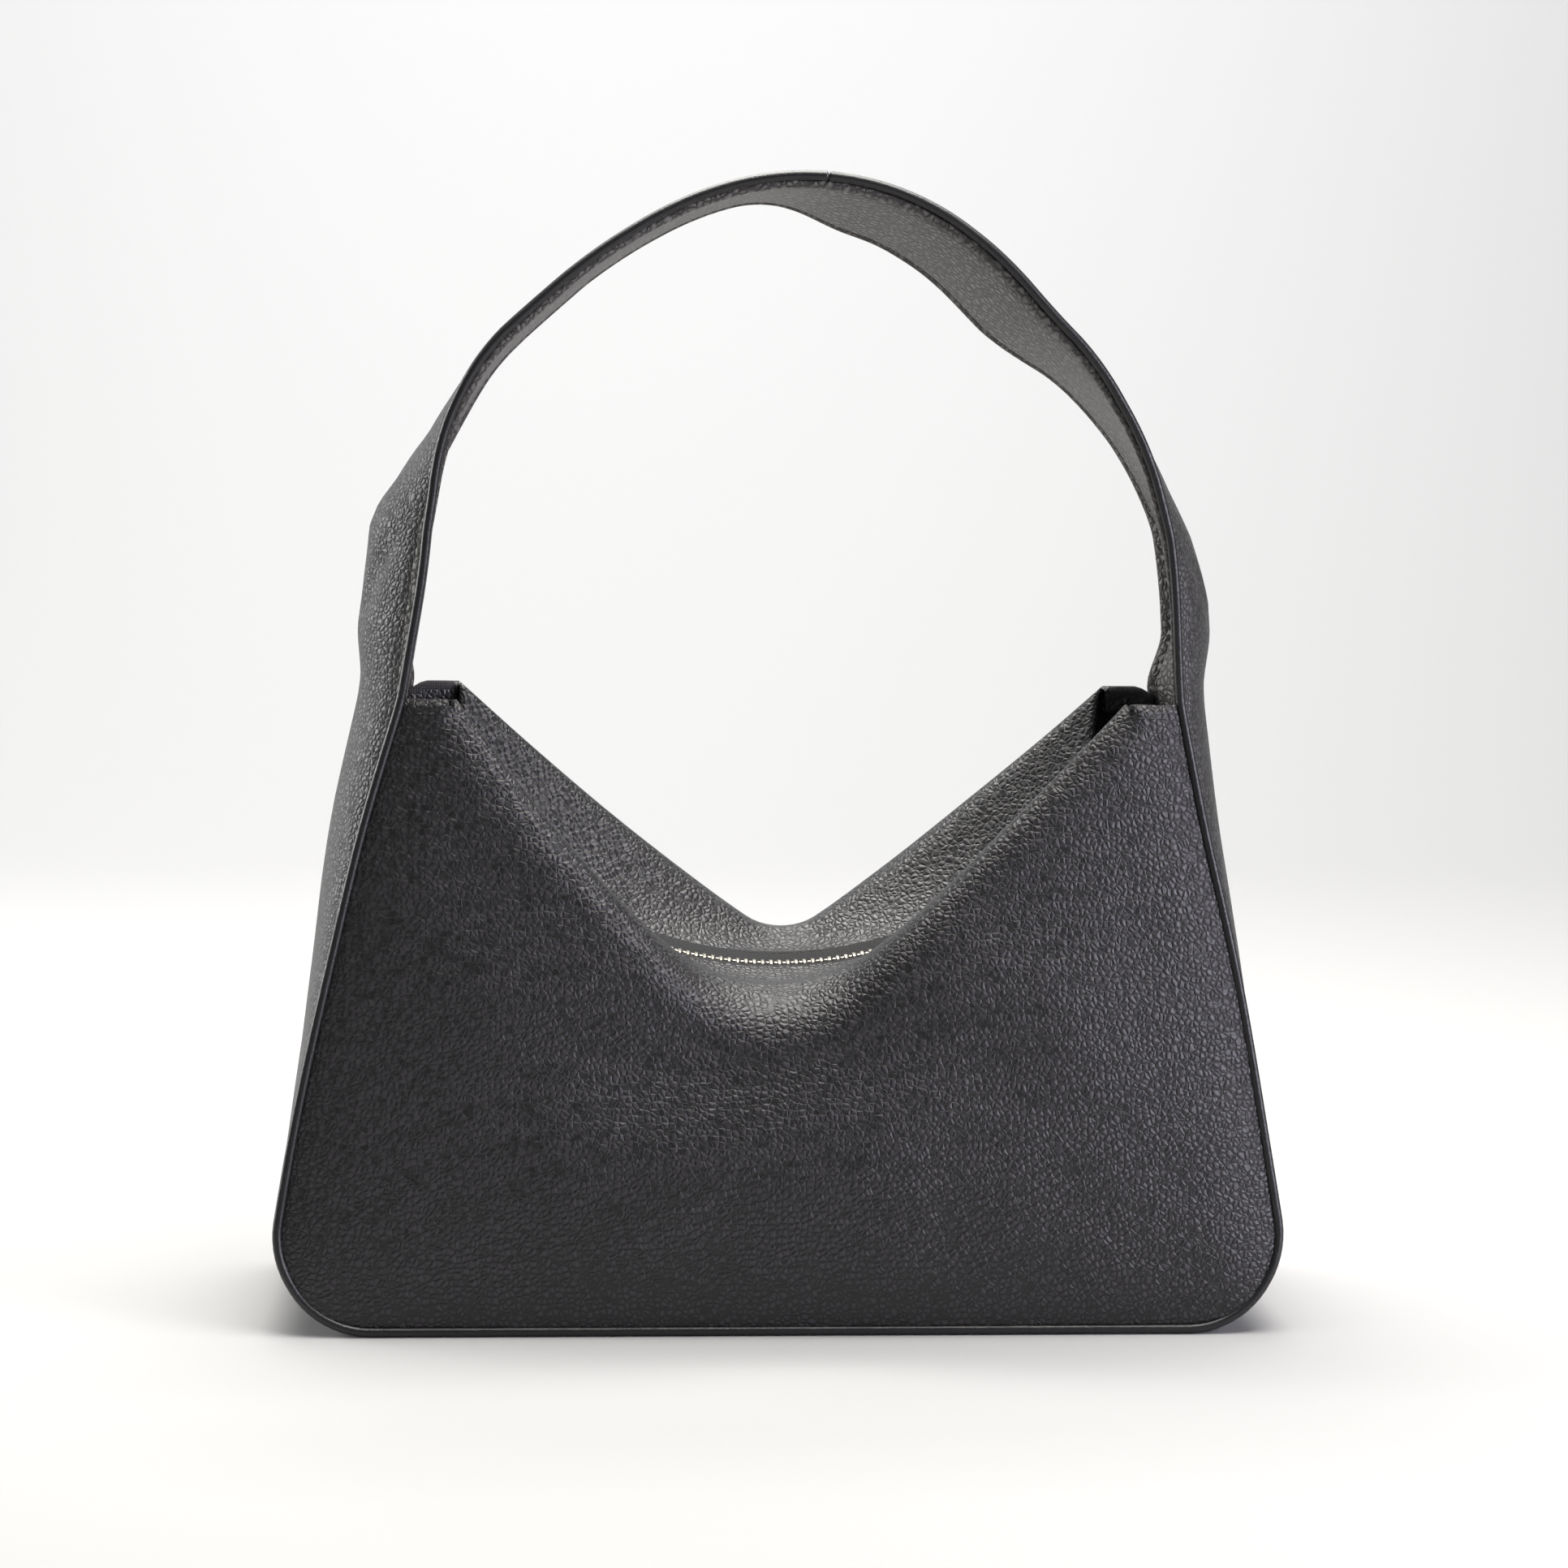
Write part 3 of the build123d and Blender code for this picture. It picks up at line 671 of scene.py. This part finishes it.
frontPanel = thicken(makePanel("frontPanel", -1), leatherThick, even=False)
dress(frontPanel, "panelLeather", replaced=["front_panel"])
backPanel = thicken(makePanel("backPanel", 1), leatherThick, even=False)
dress(backPanel, "panelLeather", replaced=["back_panel"])
print("stage: panels made")

# gusset and strap: one band, with a separate strip under the base
bandShape = {
    "columns": 300, "baseColumns": 60, "rows": 18, "inset": 1.3 * mm, "off": 1.1 * mm, "baseSeam": 100 * mm,
    "seamGap": 0.3 * mm,
}


def makeBand(name, start, end, columns, off, inset, rows, thickness):
    bm = bmesh.new()
    gridSurface(bm, columns, rows, lambda s, t: bandPoint(start + (end - start) * s, 2 * t - 1, off, inset))
    bmesh.ops.recalc_face_normals(bm, faces=bm.faces)
    probe = min(bm.faces, key=lambda face: (face.calc_center_median() - bandPoint(start, 0, off)).length)
    outwards = bandPoint(start, 0, off + 0.01) - bandPoint(start, 0, off)
    if probe.normal.dot(outwards) < 0:
        bmesh.ops.reverse_faces(bm, faces=bm.faces)
    obj = newObject(name, bm)
    return thicken(obj, thickness, bevelWidth=0.3 * mm)


band = makeBand("band", bandShape["baseSeam"], loopLength - bandShape["baseSeam"], bandShape["columns"],
                bandShape["off"], bandShape["inset"], bandShape["rows"], leatherThick)
dress(band, "bandLeather", "both",
      ["gusset_left", "gusset_right", "strap_outer", "strap_foot_left", "strap_foot_right"])
baseEnd = bandShape["baseSeam"] - bandShape["seamGap"]
base = makeBand("base", -baseEnd, baseEnd, bandShape["baseColumns"], bandShape["off"], bandShape["inset"],
                bandShape["rows"], leatherThick)
dress(base, "bandLeather", replaced=["gusset_base"])

# the strap's inner leather: its turned edges stand proud of a sewn groove, pairs of
# (distance from the strap's edge, shift), first along its inner face and then back
strapShape = {"start": bodyEnd - 13 * mm, "columns": 320, "threadIn": 3.15 * mm, "threadOff": -2.72 * mm}
innerFace = [(0.35, -1.9), (0.5, -2.7), (1.0, -3.35), (1.7, -3.55), (2.4, -3.3), (2.85, -2.75), (3.2, -2.6),
             (3.6, -2.8), (4.4, -3.1), (7.0, -3.2), (11.0, -3.25), (16.0, -3.3)]
outerFace = [(20.0, -0.9), (12.0, -0.9), (4.0, -0.9), (1.2, -0.8), (0.6, -1.2)]


def ringProfile():
    half = bag["halfDepthTop"] / mm
    ring = [(-1 + i / half, off) for i, off in innerFace] + [(0.0, -3.3)]
    ring += [(1 - i / half, off) for i, off in reversed(innerFace)]
    ring += [(1 - i / half, off) for i, off in reversed(outerFace)]
    ring += [(-1 + i / half, off) for i, off in outerFace]
    return ring + ring[:1]


def makeStrapLining(name):
    bm = bmesh.new()
    ring = ringProfile()
    start, end = strapShape["start"], loopLength - strapShape["start"]

    def place(s, t):
        across, off = ring[round(t * (len(ring) - 1))]
        return bandPoint(start + (end - start) * s, across, off * mm)

    gridSurface(bm, strapShape["columns"], len(ring) - 1, place)
    bmesh.ops.remove_doubles(bm, verts=bm.verts, dist=0.00001)
    bmesh.ops.holes_fill(bm, edges=[edge for edge in bm.edges if edge.is_boundary], sides=0)
    bmesh.ops.recalc_face_normals(bm, faces=bm.faces)
    return newObject(name, bm)


dress(makeStrapLining("strapLining"), "strapLeatherPaintedBounce", "both", ["strap_lining", "strap_core"])
print("stage: band and strap made")

# piping, one loop for each side of the bag
pipingShape = {"columns": 420, "around": 14, "joint": crownMiddle - 0.006}


def makePiping(name, across):
    bm = bmesh.new()
    joint = pipingShape["joint"]
    stops = sorted(
        [index * loopLength / pipingShape["columns"] for index in range(pipingShape["columns"] + 1)]
        + [joint + shift * mm for shift in (-1.0, -0.5, -0.25, 0.25, 0.5, 1.0)]
    )

    def place(s, t):
        d = stops[round(s * (len(stops) - 1))]
        centre = bandPoint(d, across, 0)
        _, _, heading = loopAt(d)
        out = Vector((math.sin(heading), 0, -math.cos(heading)))
        turn = 2 * math.pi * t
        radius = pipeRadius * (0.97 - 0.30 * (abs(d - joint) < 0.3 * mm) + 0.03 * hump(joint, 0.004, d))
        return centre + radius * (math.cos(turn) * out + math.sin(turn) * Vector((0, 1, 0)))

    gridSurface(bm, len(stops) - 1, pipingShape["around"], place)
    bmesh.ops.remove_doubles(bm, verts=bm.verts, dist=0.00002)
    bmesh.ops.recalc_face_normals(bm, faces=bm.faces)
    return newObject(name, bm)


for name, across, replaced in (
    ("pipingFront", -1, ["piping_front", "strap_piping_front"]),
    ("pipingBack", 1, ["piping_back", "strap_piping_back"]),
):
    dress(makePiping(name, across), "pipingLeather", "both", replaced)
print("stage: piping made")

# stitches: small threads lying on the leather, each between two points
stitchShape = {"pitch": 3.4 * mm, "long": 2.5 * mm, "wide": 0.32 * mm, "high": 0.22 * mm}


def addStitch(bm, first, last, normal):
    along = (last - first).normalized()
    sideways = normal.cross(along).normalized()
    lift = along.cross(sideways).normalized()
    size = ((last - first).length / 2, stitchShape["wide"], stitchShape["high"])
    turn = Matrix((along * size[0], sideways * size[1], lift * size[2])).transposed().to_4x4()
    middle = Matrix.Translation((first + last) / 2)
    bmesh.ops.create_icosphere(bm, subdivisions=1, radius=1, matrix=middle @ turn)


# a row of stitches along pointAt(distance), which also gives the way out of the leather
def addStitchRow(bm, pointAt, start, end):
    count = int((end - start) / stitchShape["pitch"])
    for index in range(count):
        at = start + index * stitchShape["pitch"]
        first, normal = pointAt(at)
        last, _ = pointAt(at + stitchShape["long"])
        addStitch(bm, first, last, normal)


bm = bmesh.new()
for hand in (-1, 1):
    def strapStitch(distance, hand=hand):
        across = hand * (1 - strapShape["threadIn"] / bag["halfDepthTop"])
        inner = bandPoint(distance, across, strapShape["threadOff"])
        return inner, (bandPoint(distance, across, -5 * mm) - inner).normalized()

    addStitchRow(bm, strapStitch, strapShape["start"] + 2 * mm, loopLength - strapShape["start"] - 2 * mm)
dress(newObject("strapStitches", bm), "thread", "both")

bm = bmesh.new()
for side in (-1, 1):
    for hand in (-1, 1):
        def hemStitch(distance, side=side, hand=hand):
            u = hand * (mouthShare + distance / bag["halfWidthTop"])
            point = settlePanel(panelPoint(side, u, 0.978), 0.978)
            normal = Vector((0, side, 0.14)).normalized()
            return point + normal * 0.1 * mm, normal

        addStitchRow(bm, hemStitch, 1.5 * mm, bag["hem"] - 2 * mm)
dress(newObject("hemStitches", bm), "thread")
print("stage: stitches made")

# lining, slip pocket and zip tape
liningShape = {
    "depth": 2.6 * mm, "thick": 0.6 * mm, "gussetOff": -1.7 * mm, "gussetInset": 5.0 * mm,
    "gussetDrop": 4 * mm, "gussetColumns": 150, "gussetRows": 10,
}
for name, side, replaced in (("liningFront", -1, ["lining_front"]), ("liningBack", 1, ["lining_back"])):
    sheet = thicken(makePanel(name, side, liningShape["depth"]), liningShape["thick"], even=False)
    dress(sheet, "lining", replaced=replaced)
liningEnd = bodyEnd - liningShape["gussetDrop"]
liningGusset = makeBand("liningGusset", -liningEnd, liningEnd, liningShape["gussetColumns"],
                        liningShape["gussetOff"], liningShape["gussetInset"], liningShape["gussetRows"],
                        liningShape["thick"])
dress(liningGusset, "lining", replaced=["lining_gusset"])

pocketShape = {"half": 75 * mm, "low": 14 * mm, "high": 93 * mm, "depth": 4.6 * mm, "gape": 1.6 * mm}
bm = bmesh.new()


def pocketPlace(s, t):
    x = (2 * s - 1) * pocketShape["half"]
    v = pocketShape["low"] + (pocketShape["high"] - pocketShape["low"]) * t
    u = (x / bag["halfWidthTop"]) * 0.86
    out = panelSwell(1, u, min(1.0, v / slant), x, v) - pocketShape["depth"]
    out -= pocketShape["gape"] * t * t * math.sin(math.pi * s) ** 0.7
    return settle(*onPanel(1, x, v, out))


gridSurface(bm, 40, 24, pocketPlace)
slipPocket = thicken(newObject("slipPocket", bm), liningShape["thick"], 0.0)
dress(slipPocket, "lining", replaced=["slip_pocket"])

tapeShape = {
    "inner": 1.2 * mm, "edge": 14 * mm, "columns": 150, "rows": 14, "thick": 0.6 * mm,
    "climb": 0.42, "below": 1.9 * mm,         # how far it follows the fold-over up, and under the leather
}


def makeTape(name, side):
    bm = bmesh.new()

    def place(s, t):
        share = 2 * s - 1
        away = tapeShape["inner"] + (tapeShape["edge"] - tapeShape["inner"]) * t
        edge = zipPoint(side, share)
        if away <= zipArc["slot"]:
            edge.y = side * away
            return edge
        over = (away - zipArc["slot"]) / (tapeShape["edge"] - zipArc["slot"])
        u = share * mouthShare
        t = 2 - tapeShape["climb"] * over
        here = settlePanel(panelPoint(side, u, t), t)
        return here - Vector((0, 0, tapeShape["below"] * smooth(0.0, 0.25, over)))

    gridSurface(bm, tapeShape["columns"], tapeShape["rows"], place)
    return thicken(newObject(name, bm), tapeShape["thick"], 0.0)


dress(makeTape("zipTapeFront", -1), "tape", replaced=["zip_tape_front"])
dress(makeTape("zipTapeBack", 1), "tape", replaced=["zip_tape_back"])
print("stage: lining and tape made")

# zip teeth and stops
toothShape = {
    "thick": 1.15 * mm, "jawIn": 1.0 * mm, "jawOut": 3.0 * mm, "reach": 0.9 * mm, "half": 1.2 * mm,
    "pitch": 2.6 * mm, "count": 76, "first": 0.6 * mm, "edge": 0.16 * mm,
}
stopShape = {
    "top": (1.25 * mm, 1.7 * mm, 2.3 * mm), "topAside": 2.35 * mm, "topEdge": 0.35 * mm,
    "bottom": (2.4 * mm, 6 * mm, 2.4 * mm), "bottomEdge": 0.5 * mm,
}
sliderLow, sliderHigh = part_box("slider_body")
sliderCentre = (sliderLow + sliderHigh) / 2
sliderAngle = math.atan2(sliderCentre.x, zipArc["centre"] - sliderCentre.z)


# on the zip's arc: x along it, y across, z up out of it
def zipFrame(angle, lift=0.0):
    turn = Matrix.Rotation(-angle, 4, "Y")
    down = Matrix.Translation((0, 0, lift - zipArc["radius"]))
    return Matrix.Translation((0, 0, zipArc["centre"])) @ turn @ down


# adds part to bm, moved by matrix
def joinInto(bm, part, matrix):
    bmesh.ops.transform(part, matrix=matrix, verts=part.verts)
    mesh = bpy.data.meshes.new("part")
    part.to_mesh(mesh)
    part.free()
    bm.from_mesh(mesh)
    bpy.data.meshes.remove(mesh)


def addBlock(bm, size, centre, width, segments, matrix):
    part = bmesh.new()
    for vert in bmesh.ops.create_cube(part, size=1)["verts"]:
        vert.co = Vector(a * b + c for a, b, c in zip(vert.co, size, centre))
    bmesh.ops.bevel(part, geom=part.edges, offset=width, segments=segments, profile=0.5, affect="EDGES",
                    material=-1)
    joinInto(bm, part, matrix)


def toothMesh(side):
    bm = bmesh.new()
    shape = toothShape
    for vert in bmesh.ops.create_cube(bm, size=1)["verts"]:
        y = shape["jawOut"] if vert.co.y > 0 else shape["jawIn"]
        vert.co = Vector((vert.co.x * shape["thick"], y * side, vert.co.z * 2 * shape["half"]))
    bm.normal_update()
    inner = min(bm.faces, key=lambda face: face.calc_center_median().y * side)
    for y, narrow, low in ((-0.1 * mm, 0.92, 0.74), (-shape["reach"], 0.8, 0.62)):
        made = bmesh.ops.extrude_face_region(bm, geom=[inner])["geom"]
        bmesh.ops.delete(bm, geom=[inner], context="FACES_ONLY")
        for vert in (item for item in made if isinstance(item, bmesh.types.BMVert)):
            vert.co = Vector((vert.co.x * narrow, y * side, vert.co.z * low))
        inner = next(item for item in made if isinstance(item, bmesh.types.BMFace))
    bmesh.ops.bevel(bm, geom=bm.edges, offset=shape["edge"], segments=1, profile=0.5, affect="EDGES",
                    material=-1)
    bmesh.ops.recalc_face_normals(bm, faces=bm.faces)
    mesh = bpy.data.meshes.new("tooth")
    bm.to_mesh(mesh)
    bm.free()
    return mesh


def makeTeeth(name, side, phase):
    tooth = toothMesh(side)
    bm = bmesh.new()
    for step in range(toothShape["count"]):
        angle = sliderAngle + (toothShape["first"] + (step + phase) * toothShape["pitch"]) / zipArc["radius"]
        before = len(bm.verts)
        bm.from_mesh(tooth)
        bm.verts.ensure_lookup_table()
        bmesh.ops.transform(bm, matrix=zipFrame(angle), verts=bm.verts[before:])
    return newObject(name, bm)


def flatShade(obj):
    for polygon in obj.data.polygons:
        polygon.use_smooth = False
    return obj


dress(flatShade(makeTeeth("zipTeethFront", -1, 0.0)), "teethMetal", replaced=["zip_teeth_front"])
dress(flatShade(makeTeeth("zipTeethBack", 1, 0.5)), "teethMetal", replaced=["zip_teeth_back"])


def angleOf(node):
    low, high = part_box(node)
    return math.atan2((low.x + high.x) / 2, zipArc["centre"] - (low.z + high.z) / 2)


bm = bmesh.new()
for side in (-1, 1):
    addBlock(bm, stopShape["top"], (0, side * stopShape["topAside"], 0), stopShape["topEdge"], 3,
             zipFrame(angleOf("zip_top_stops")))
dress(newObject("zipTopStops", bm), "teethMetal", replaced=["zip_top_stops"])
bm = bmesh.new()
addBlock(bm, stopShape["bottom"], (0, 0, 0), stopShape["bottomEdge"], 4, zipFrame(angleOf("zip_bottom_stop")))
dress(newObject("zipBottomStop", bm), "teethMetal", replaced=["zip_bottom_stop"])
print("stage: teeth made")

# slider, its bridge and the pull tab
sliderShape = {
    "long": 11 * mm, "wide": 8.1 * mm, "plate": 1.3 * mm, "channel": 1.45 * mm, "wall": 0.8 * mm,
    "slot": 0.6 * mm, "corner": 1.5 * mm, "edge": 0.35 * mm, "narrow": 0.93,
    "wedge": (2.6 * mm, 1.5 * mm), "wedgeAt": -3.7 * mm, "wedgeEdge": 0.5 * mm, "wallEdge": 0.2 * mm,
}


def addPlate(bm, low, high, half, matrix):
    part = bmesh.new()
    for vert in bmesh.ops.create_cube(part, size=1)["verts"]:
        narrow = sliderShape["narrow"] if vert.co.x > 0 else 1.0
        height = low if vert.co.z < 0 else high
        vert.co = Vector((vert.co.x * sliderShape["long"], vert.co.y * half * 2 * narrow, height))
    upright = [edge for edge in part.edges if abs(edge.verts[0].co.z - edge.verts[1].co.z) > 0.5 * mm]
    bmesh.ops.bevel(part, geom=upright, offset=sliderShape["corner"], segments=6, profile=0.5, affect="EDGES",
                    material=-1)
    rim = [edge for edge in part.edges if abs(edge.verts[0].co.z - edge.verts[1].co.z) < 0.1 * mm]
    bmesh.ops.bevel(part, geom=rim, offset=sliderShape["edge"], segments=3, profile=0.5, affect="EDGES",
                    material=-1)
    joinInto(bm, part, matrix)


sliderFrame = zipFrame(sliderAngle)
wallHigh = sliderShape["channel"] - sliderShape["slot"] + 0.3 * mm
wallSize = (sliderShape["long"] - 2 * sliderShape["corner"], sliderShape["wall"], wallHigh)
bm = bmesh.new()
for face in (-1, 1):
    heights = (sliderShape["channel"], sliderShape["channel"] + sliderShape["plate"])
    low, high = sorted(face * height for height in heights)
    addPlate(bm, low, high, sliderShape["wide"] / 2, sliderFrame)
    for side in (-1, 1):
        aside = side * (sliderShape["wide"] - sliderShape["wall"]) / 2
        wallAt = (0, aside, face * (sliderShape["slot"] + wallHigh / 2))
        addBlock(bm, wallSize, wallAt, sliderShape["wallEdge"], 2, sliderFrame)
wedgeSize = (*sliderShape["wedge"], 2 * sliderShape["channel"] + 0.4 * mm)
addBlock(bm, wedgeSize, (sliderShape["wedgeAt"], 0, 0), sliderShape["wedgeEdge"], 3, sliderFrame)
dress(newObject("sliderBody", bm), "sliderMetal", "slider", ["slider_body"])

bridgeShape = {"wide": 2.6 * mm, "thick": 1.1 * mm, "foot": 2.78 * mm}
bridgeLine = [(-3.25, -0.1), (-3.2, 0.5), (-2.95, 1.3), (-2.5, 2.1), (-1.8, 2.5), (-0.6, 2.56), (0.6, 2.56),
              (1.8, 2.5), (2.5, 2.1), (2.95, 1.3), (3.2, 0.5), (3.25, -0.1)]


# a strip with a rounded section along a line in the x-z plane
def sweepStrip(bm, line, wide, thick, matrix, around=16):
    def place(s, t):
        index = round(s * (len(line) - 1))
        x, z = line[index]
        before, after = line[max(index - 1, 0)], line[min(index + 1, len(line) - 1)]
        along = Vector((after[0] - before[0], 0, after[1] - before[1])).normalized()
        normal = Vector((-along.z, 0, along.x))
        turn = 2 * math.pi * t
        c, q = math.cos(turn), math.sin(turn)
        y = math.copysign(abs(c) ** 0.45, c) * wide / 2
        up = math.copysign(abs(q) ** 0.45, q) * thick / 2
        return matrix @ (Vector((x * mm, y, z * mm)) + normal * up)

    verts = gridSurface(bm, len(line) - 1, around, place)
    bmesh.ops.remove_doubles(bm, verts=verts, dist=0.00001)
    bmesh.ops.holes_fill(bm, edges=[edge for edge in bm.edges if edge.is_boundary], sides=0)
    bmesh.ops.recalc_face_normals(bm, faces=bm.faces)


bm = bmesh.new()
bridgeFrame = zipFrame(sliderAngle, bridgeShape["foot"])
sweepStrip(bm, bridgeLine, bridgeShape["wide"], bridgeShape["thick"], bridgeFrame)
dress(newObject("sliderBridge", bm), "sliderMetal", "slider", ["slider_bridge"])

# the tab turns on a bar under the bridge; both faces of its leaf are recessed
tabShape = {
    "tilt": 7, "long": 25 * mm, "half": 3.2 * mm, "armHalf": 2.3 * mm, "arm": 1.4 * mm, "thick": 1.3 * mm,
    "leafStart": 4.6 * mm, "bar": 0.7 * mm, "edge": 0.3 * mm,
    "recess": 0.25 * mm, "recessHalf": 1.9 * mm, "recessFrom": 8 * mm, "recessTo": 21 * mm,
}
armLine = [(-0.5, 0), (0.5, 0), (2.0, 0), (3.5, 0), (5.2, 0)]
tabTurn = Matrix.Rotation(-(sliderAngle + math.radians(tabShape["tilt"])), 4, "Y")
tabFrame = Matrix.Translation(pivotOf("pull_tab")) @ tabTurn
bm = bmesh.new()


def leafPlace(s, t):
    x = tabShape["leafStart"] + (tabShape["long"] - tabShape["leafStart"]) * math.sin(math.pi / 2 * s)
    tip = tabShape["long"] - tabShape["half"]
    half = tabShape["half"] * (0.94 + 0.06 * min(1, x / tip))
    if x > tip:
        half = math.sqrt(max(0.0, tabShape["half"] ** 2 - (x - tip) ** 2))
    return Vector((x, half * (2 * t - 1), 0))


gridSurface(bm, 36, 10, leafPlace)
bmesh.ops.remove_doubles(bm, verts=bm.verts, dist=0.00001)
leaf = thicken(newObject("pullTab", bm), tabShape["thick"], 0.0, tabShape["edge"])
bm = bmesh.new()
bm.from_mesh(leaf.data)
for up in (-1, 1):
    recess = [
        face for face in bm.faces
        if face.normal.z * up > 0.9 and abs(face.calc_center_median().y) < tabShape["recessHalf"]
        and tabShape["recessFrom"] < face.calc_center_median().x < tabShape["recessTo"]
    ]
    bmesh.ops.inset_region(bm, faces=recess, thickness=tabShape["recess"], depth=-tabShape["recess"],
                           use_even_offset=True)
for side in (-1, 1):
    sweepStrip(bm, armLine, tabShape["arm"], tabShape["thick"],
               Matrix.Translation((0, side * tabShape["armHalf"], 0)), 14)
barLong = 2 * tabShape["armHalf"] + tabShape["arm"]
bmesh.ops.create_cone(bm, cap_ends=True, segments=20, radius1=tabShape["bar"], radius2=tabShape["bar"],
                      depth=barLong, matrix=Matrix.Rotation(math.pi / 2, 4, "X"))
bmesh.ops.transform(bm, matrix=tabFrame, verts=bm.verts)
bm.to_mesh(leaf.data)
bm.free()
for polygon in leaf.data.polygons:
    polygon.use_smooth = True
dress(leaf, "sliderMetal", "pull_tab", ["pull_tab"])
print("stage: slider and pull tab made")

# the base board keeps its CAD shape
frame["nodes"]["base_board"].data.materials.clear()
frame["nodes"]["base_board"].data.materials.append(finishes["board"])

# camera, lights and floor
shot = {
    "azimuth": -4.0, "elevation": 5.0, "distance": 1.05, "roll": -0.7,
    "aim": Vector((-0.0002, -0.030, 0.1626)), "spanAtAim": 0.4681,
}


def makeCamera():
    data = bpy.data.cameras.new("camera")
    camera = bpy.data.objects.new("camera", data)
    scene.collection.objects.link(camera)
    a, e = math.radians(shot["azimuth"]), math.radians(shot["elevation"])
    back = Vector((math.sin(a) * math.cos(e), -math.cos(a) * math.cos(e), math.sin(e)))
    camera.location = shot["aim"] + back * shot["distance"]
    turn = (-back).to_track_quat("-Z", "Y")
    camera.rotation_mode = "QUATERNION"
    camera.rotation_quaternion = turn @ Quaternion((0, 0, 1), math.radians(-shot["roll"]))
    data.sensor_width = 36
    data.lens = 36 * shot["distance"] / shot["spanAtAim"]
    data.clip_start, data.clip_end = 0.05, 30
    scene.camera = camera


def makeLight(name, position, aim, size, power, colour=(1, 1, 1)):
    data = bpy.data.lights.new(name, "AREA")
    data.shape = "RECTANGLE"
    data.size, data.size_y = size
    data.energy = power
    data.color = colour
    light = bpy.data.objects.new(name, data)
    light.location = position
    light.rotation_mode = "QUATERNION"
    light.rotation_quaternion = (Vector(aim) - Vector(position)).to_track_quat("-Z", "Y")
    scene.collection.objects.link(light)


makeCamera()
makeLight("topLight", (0.05, 0.05, 1.15), (0, 0, 0.15), (1.2, 0.8), 38, (1.0, 0.975, 0.93))
makeLight("rightLight", (0.95, -0.66, 0.42), (0, 0, 0.12), (0.5, 0.7), 12, (0.90, 0.87, 1.0))
makeLight("leftLight", (-1.5, 0.5, 0.6), (0, 0, 0.12), (0.6, 1.0), 20)
makeLight("wallLight", (0, 1.0, 2.2), (0, 3.2, 0.7), (2.4, 0.6), 118)

# curves up behind the bag
floorShape = {"half": 3.0, "front": 2.0, "flat": 3.2, "bend": 1.2, "length": 6.0}
bm = bmesh.new()


def floorPlace(s, t):
    x = (s - 0.5) * 2 * floorShape["half"]
    run = t * floorShape["length"]
    front, flat, bend = floorShape["front"], floorShape["flat"], floorShape["bend"]
    arc = bend * math.pi / 2
    if run < flat:
        return Vector((x, run - front, 0))
    if run < flat + arc:
        turn = (run - flat) / bend
        return Vector((x, flat - front + bend * math.sin(turn), bend * (1 - math.cos(turn))))
    return Vector((x, flat - front + bend, bend + run - flat - arc))


gridSurface(bm, 8, 80, floorPlace)
floor = newObject("floor", bm)
floorMaterial, _, floorShader, _ = nodeTree("floorPaper", {"roughness": 0.9, "specular": 0.1})
floorShader.inputs["Base Color"].default_value = (0.36, 0.36, 0.36, 1)
floor.data.materials.append(floorMaterial)

world = bpy.data.worlds.new("studio")
scene.world = world
world.use_nodes = True
world.node_tree.nodes["Background"].inputs["Color"].default_value = (1, 1, 1, 1)
world.node_tree.nodes["Background"].inputs["Strength"].default_value = 0.12
scene.view_settings.view_transform = "Standard"
print("stage: camera and lights ready")
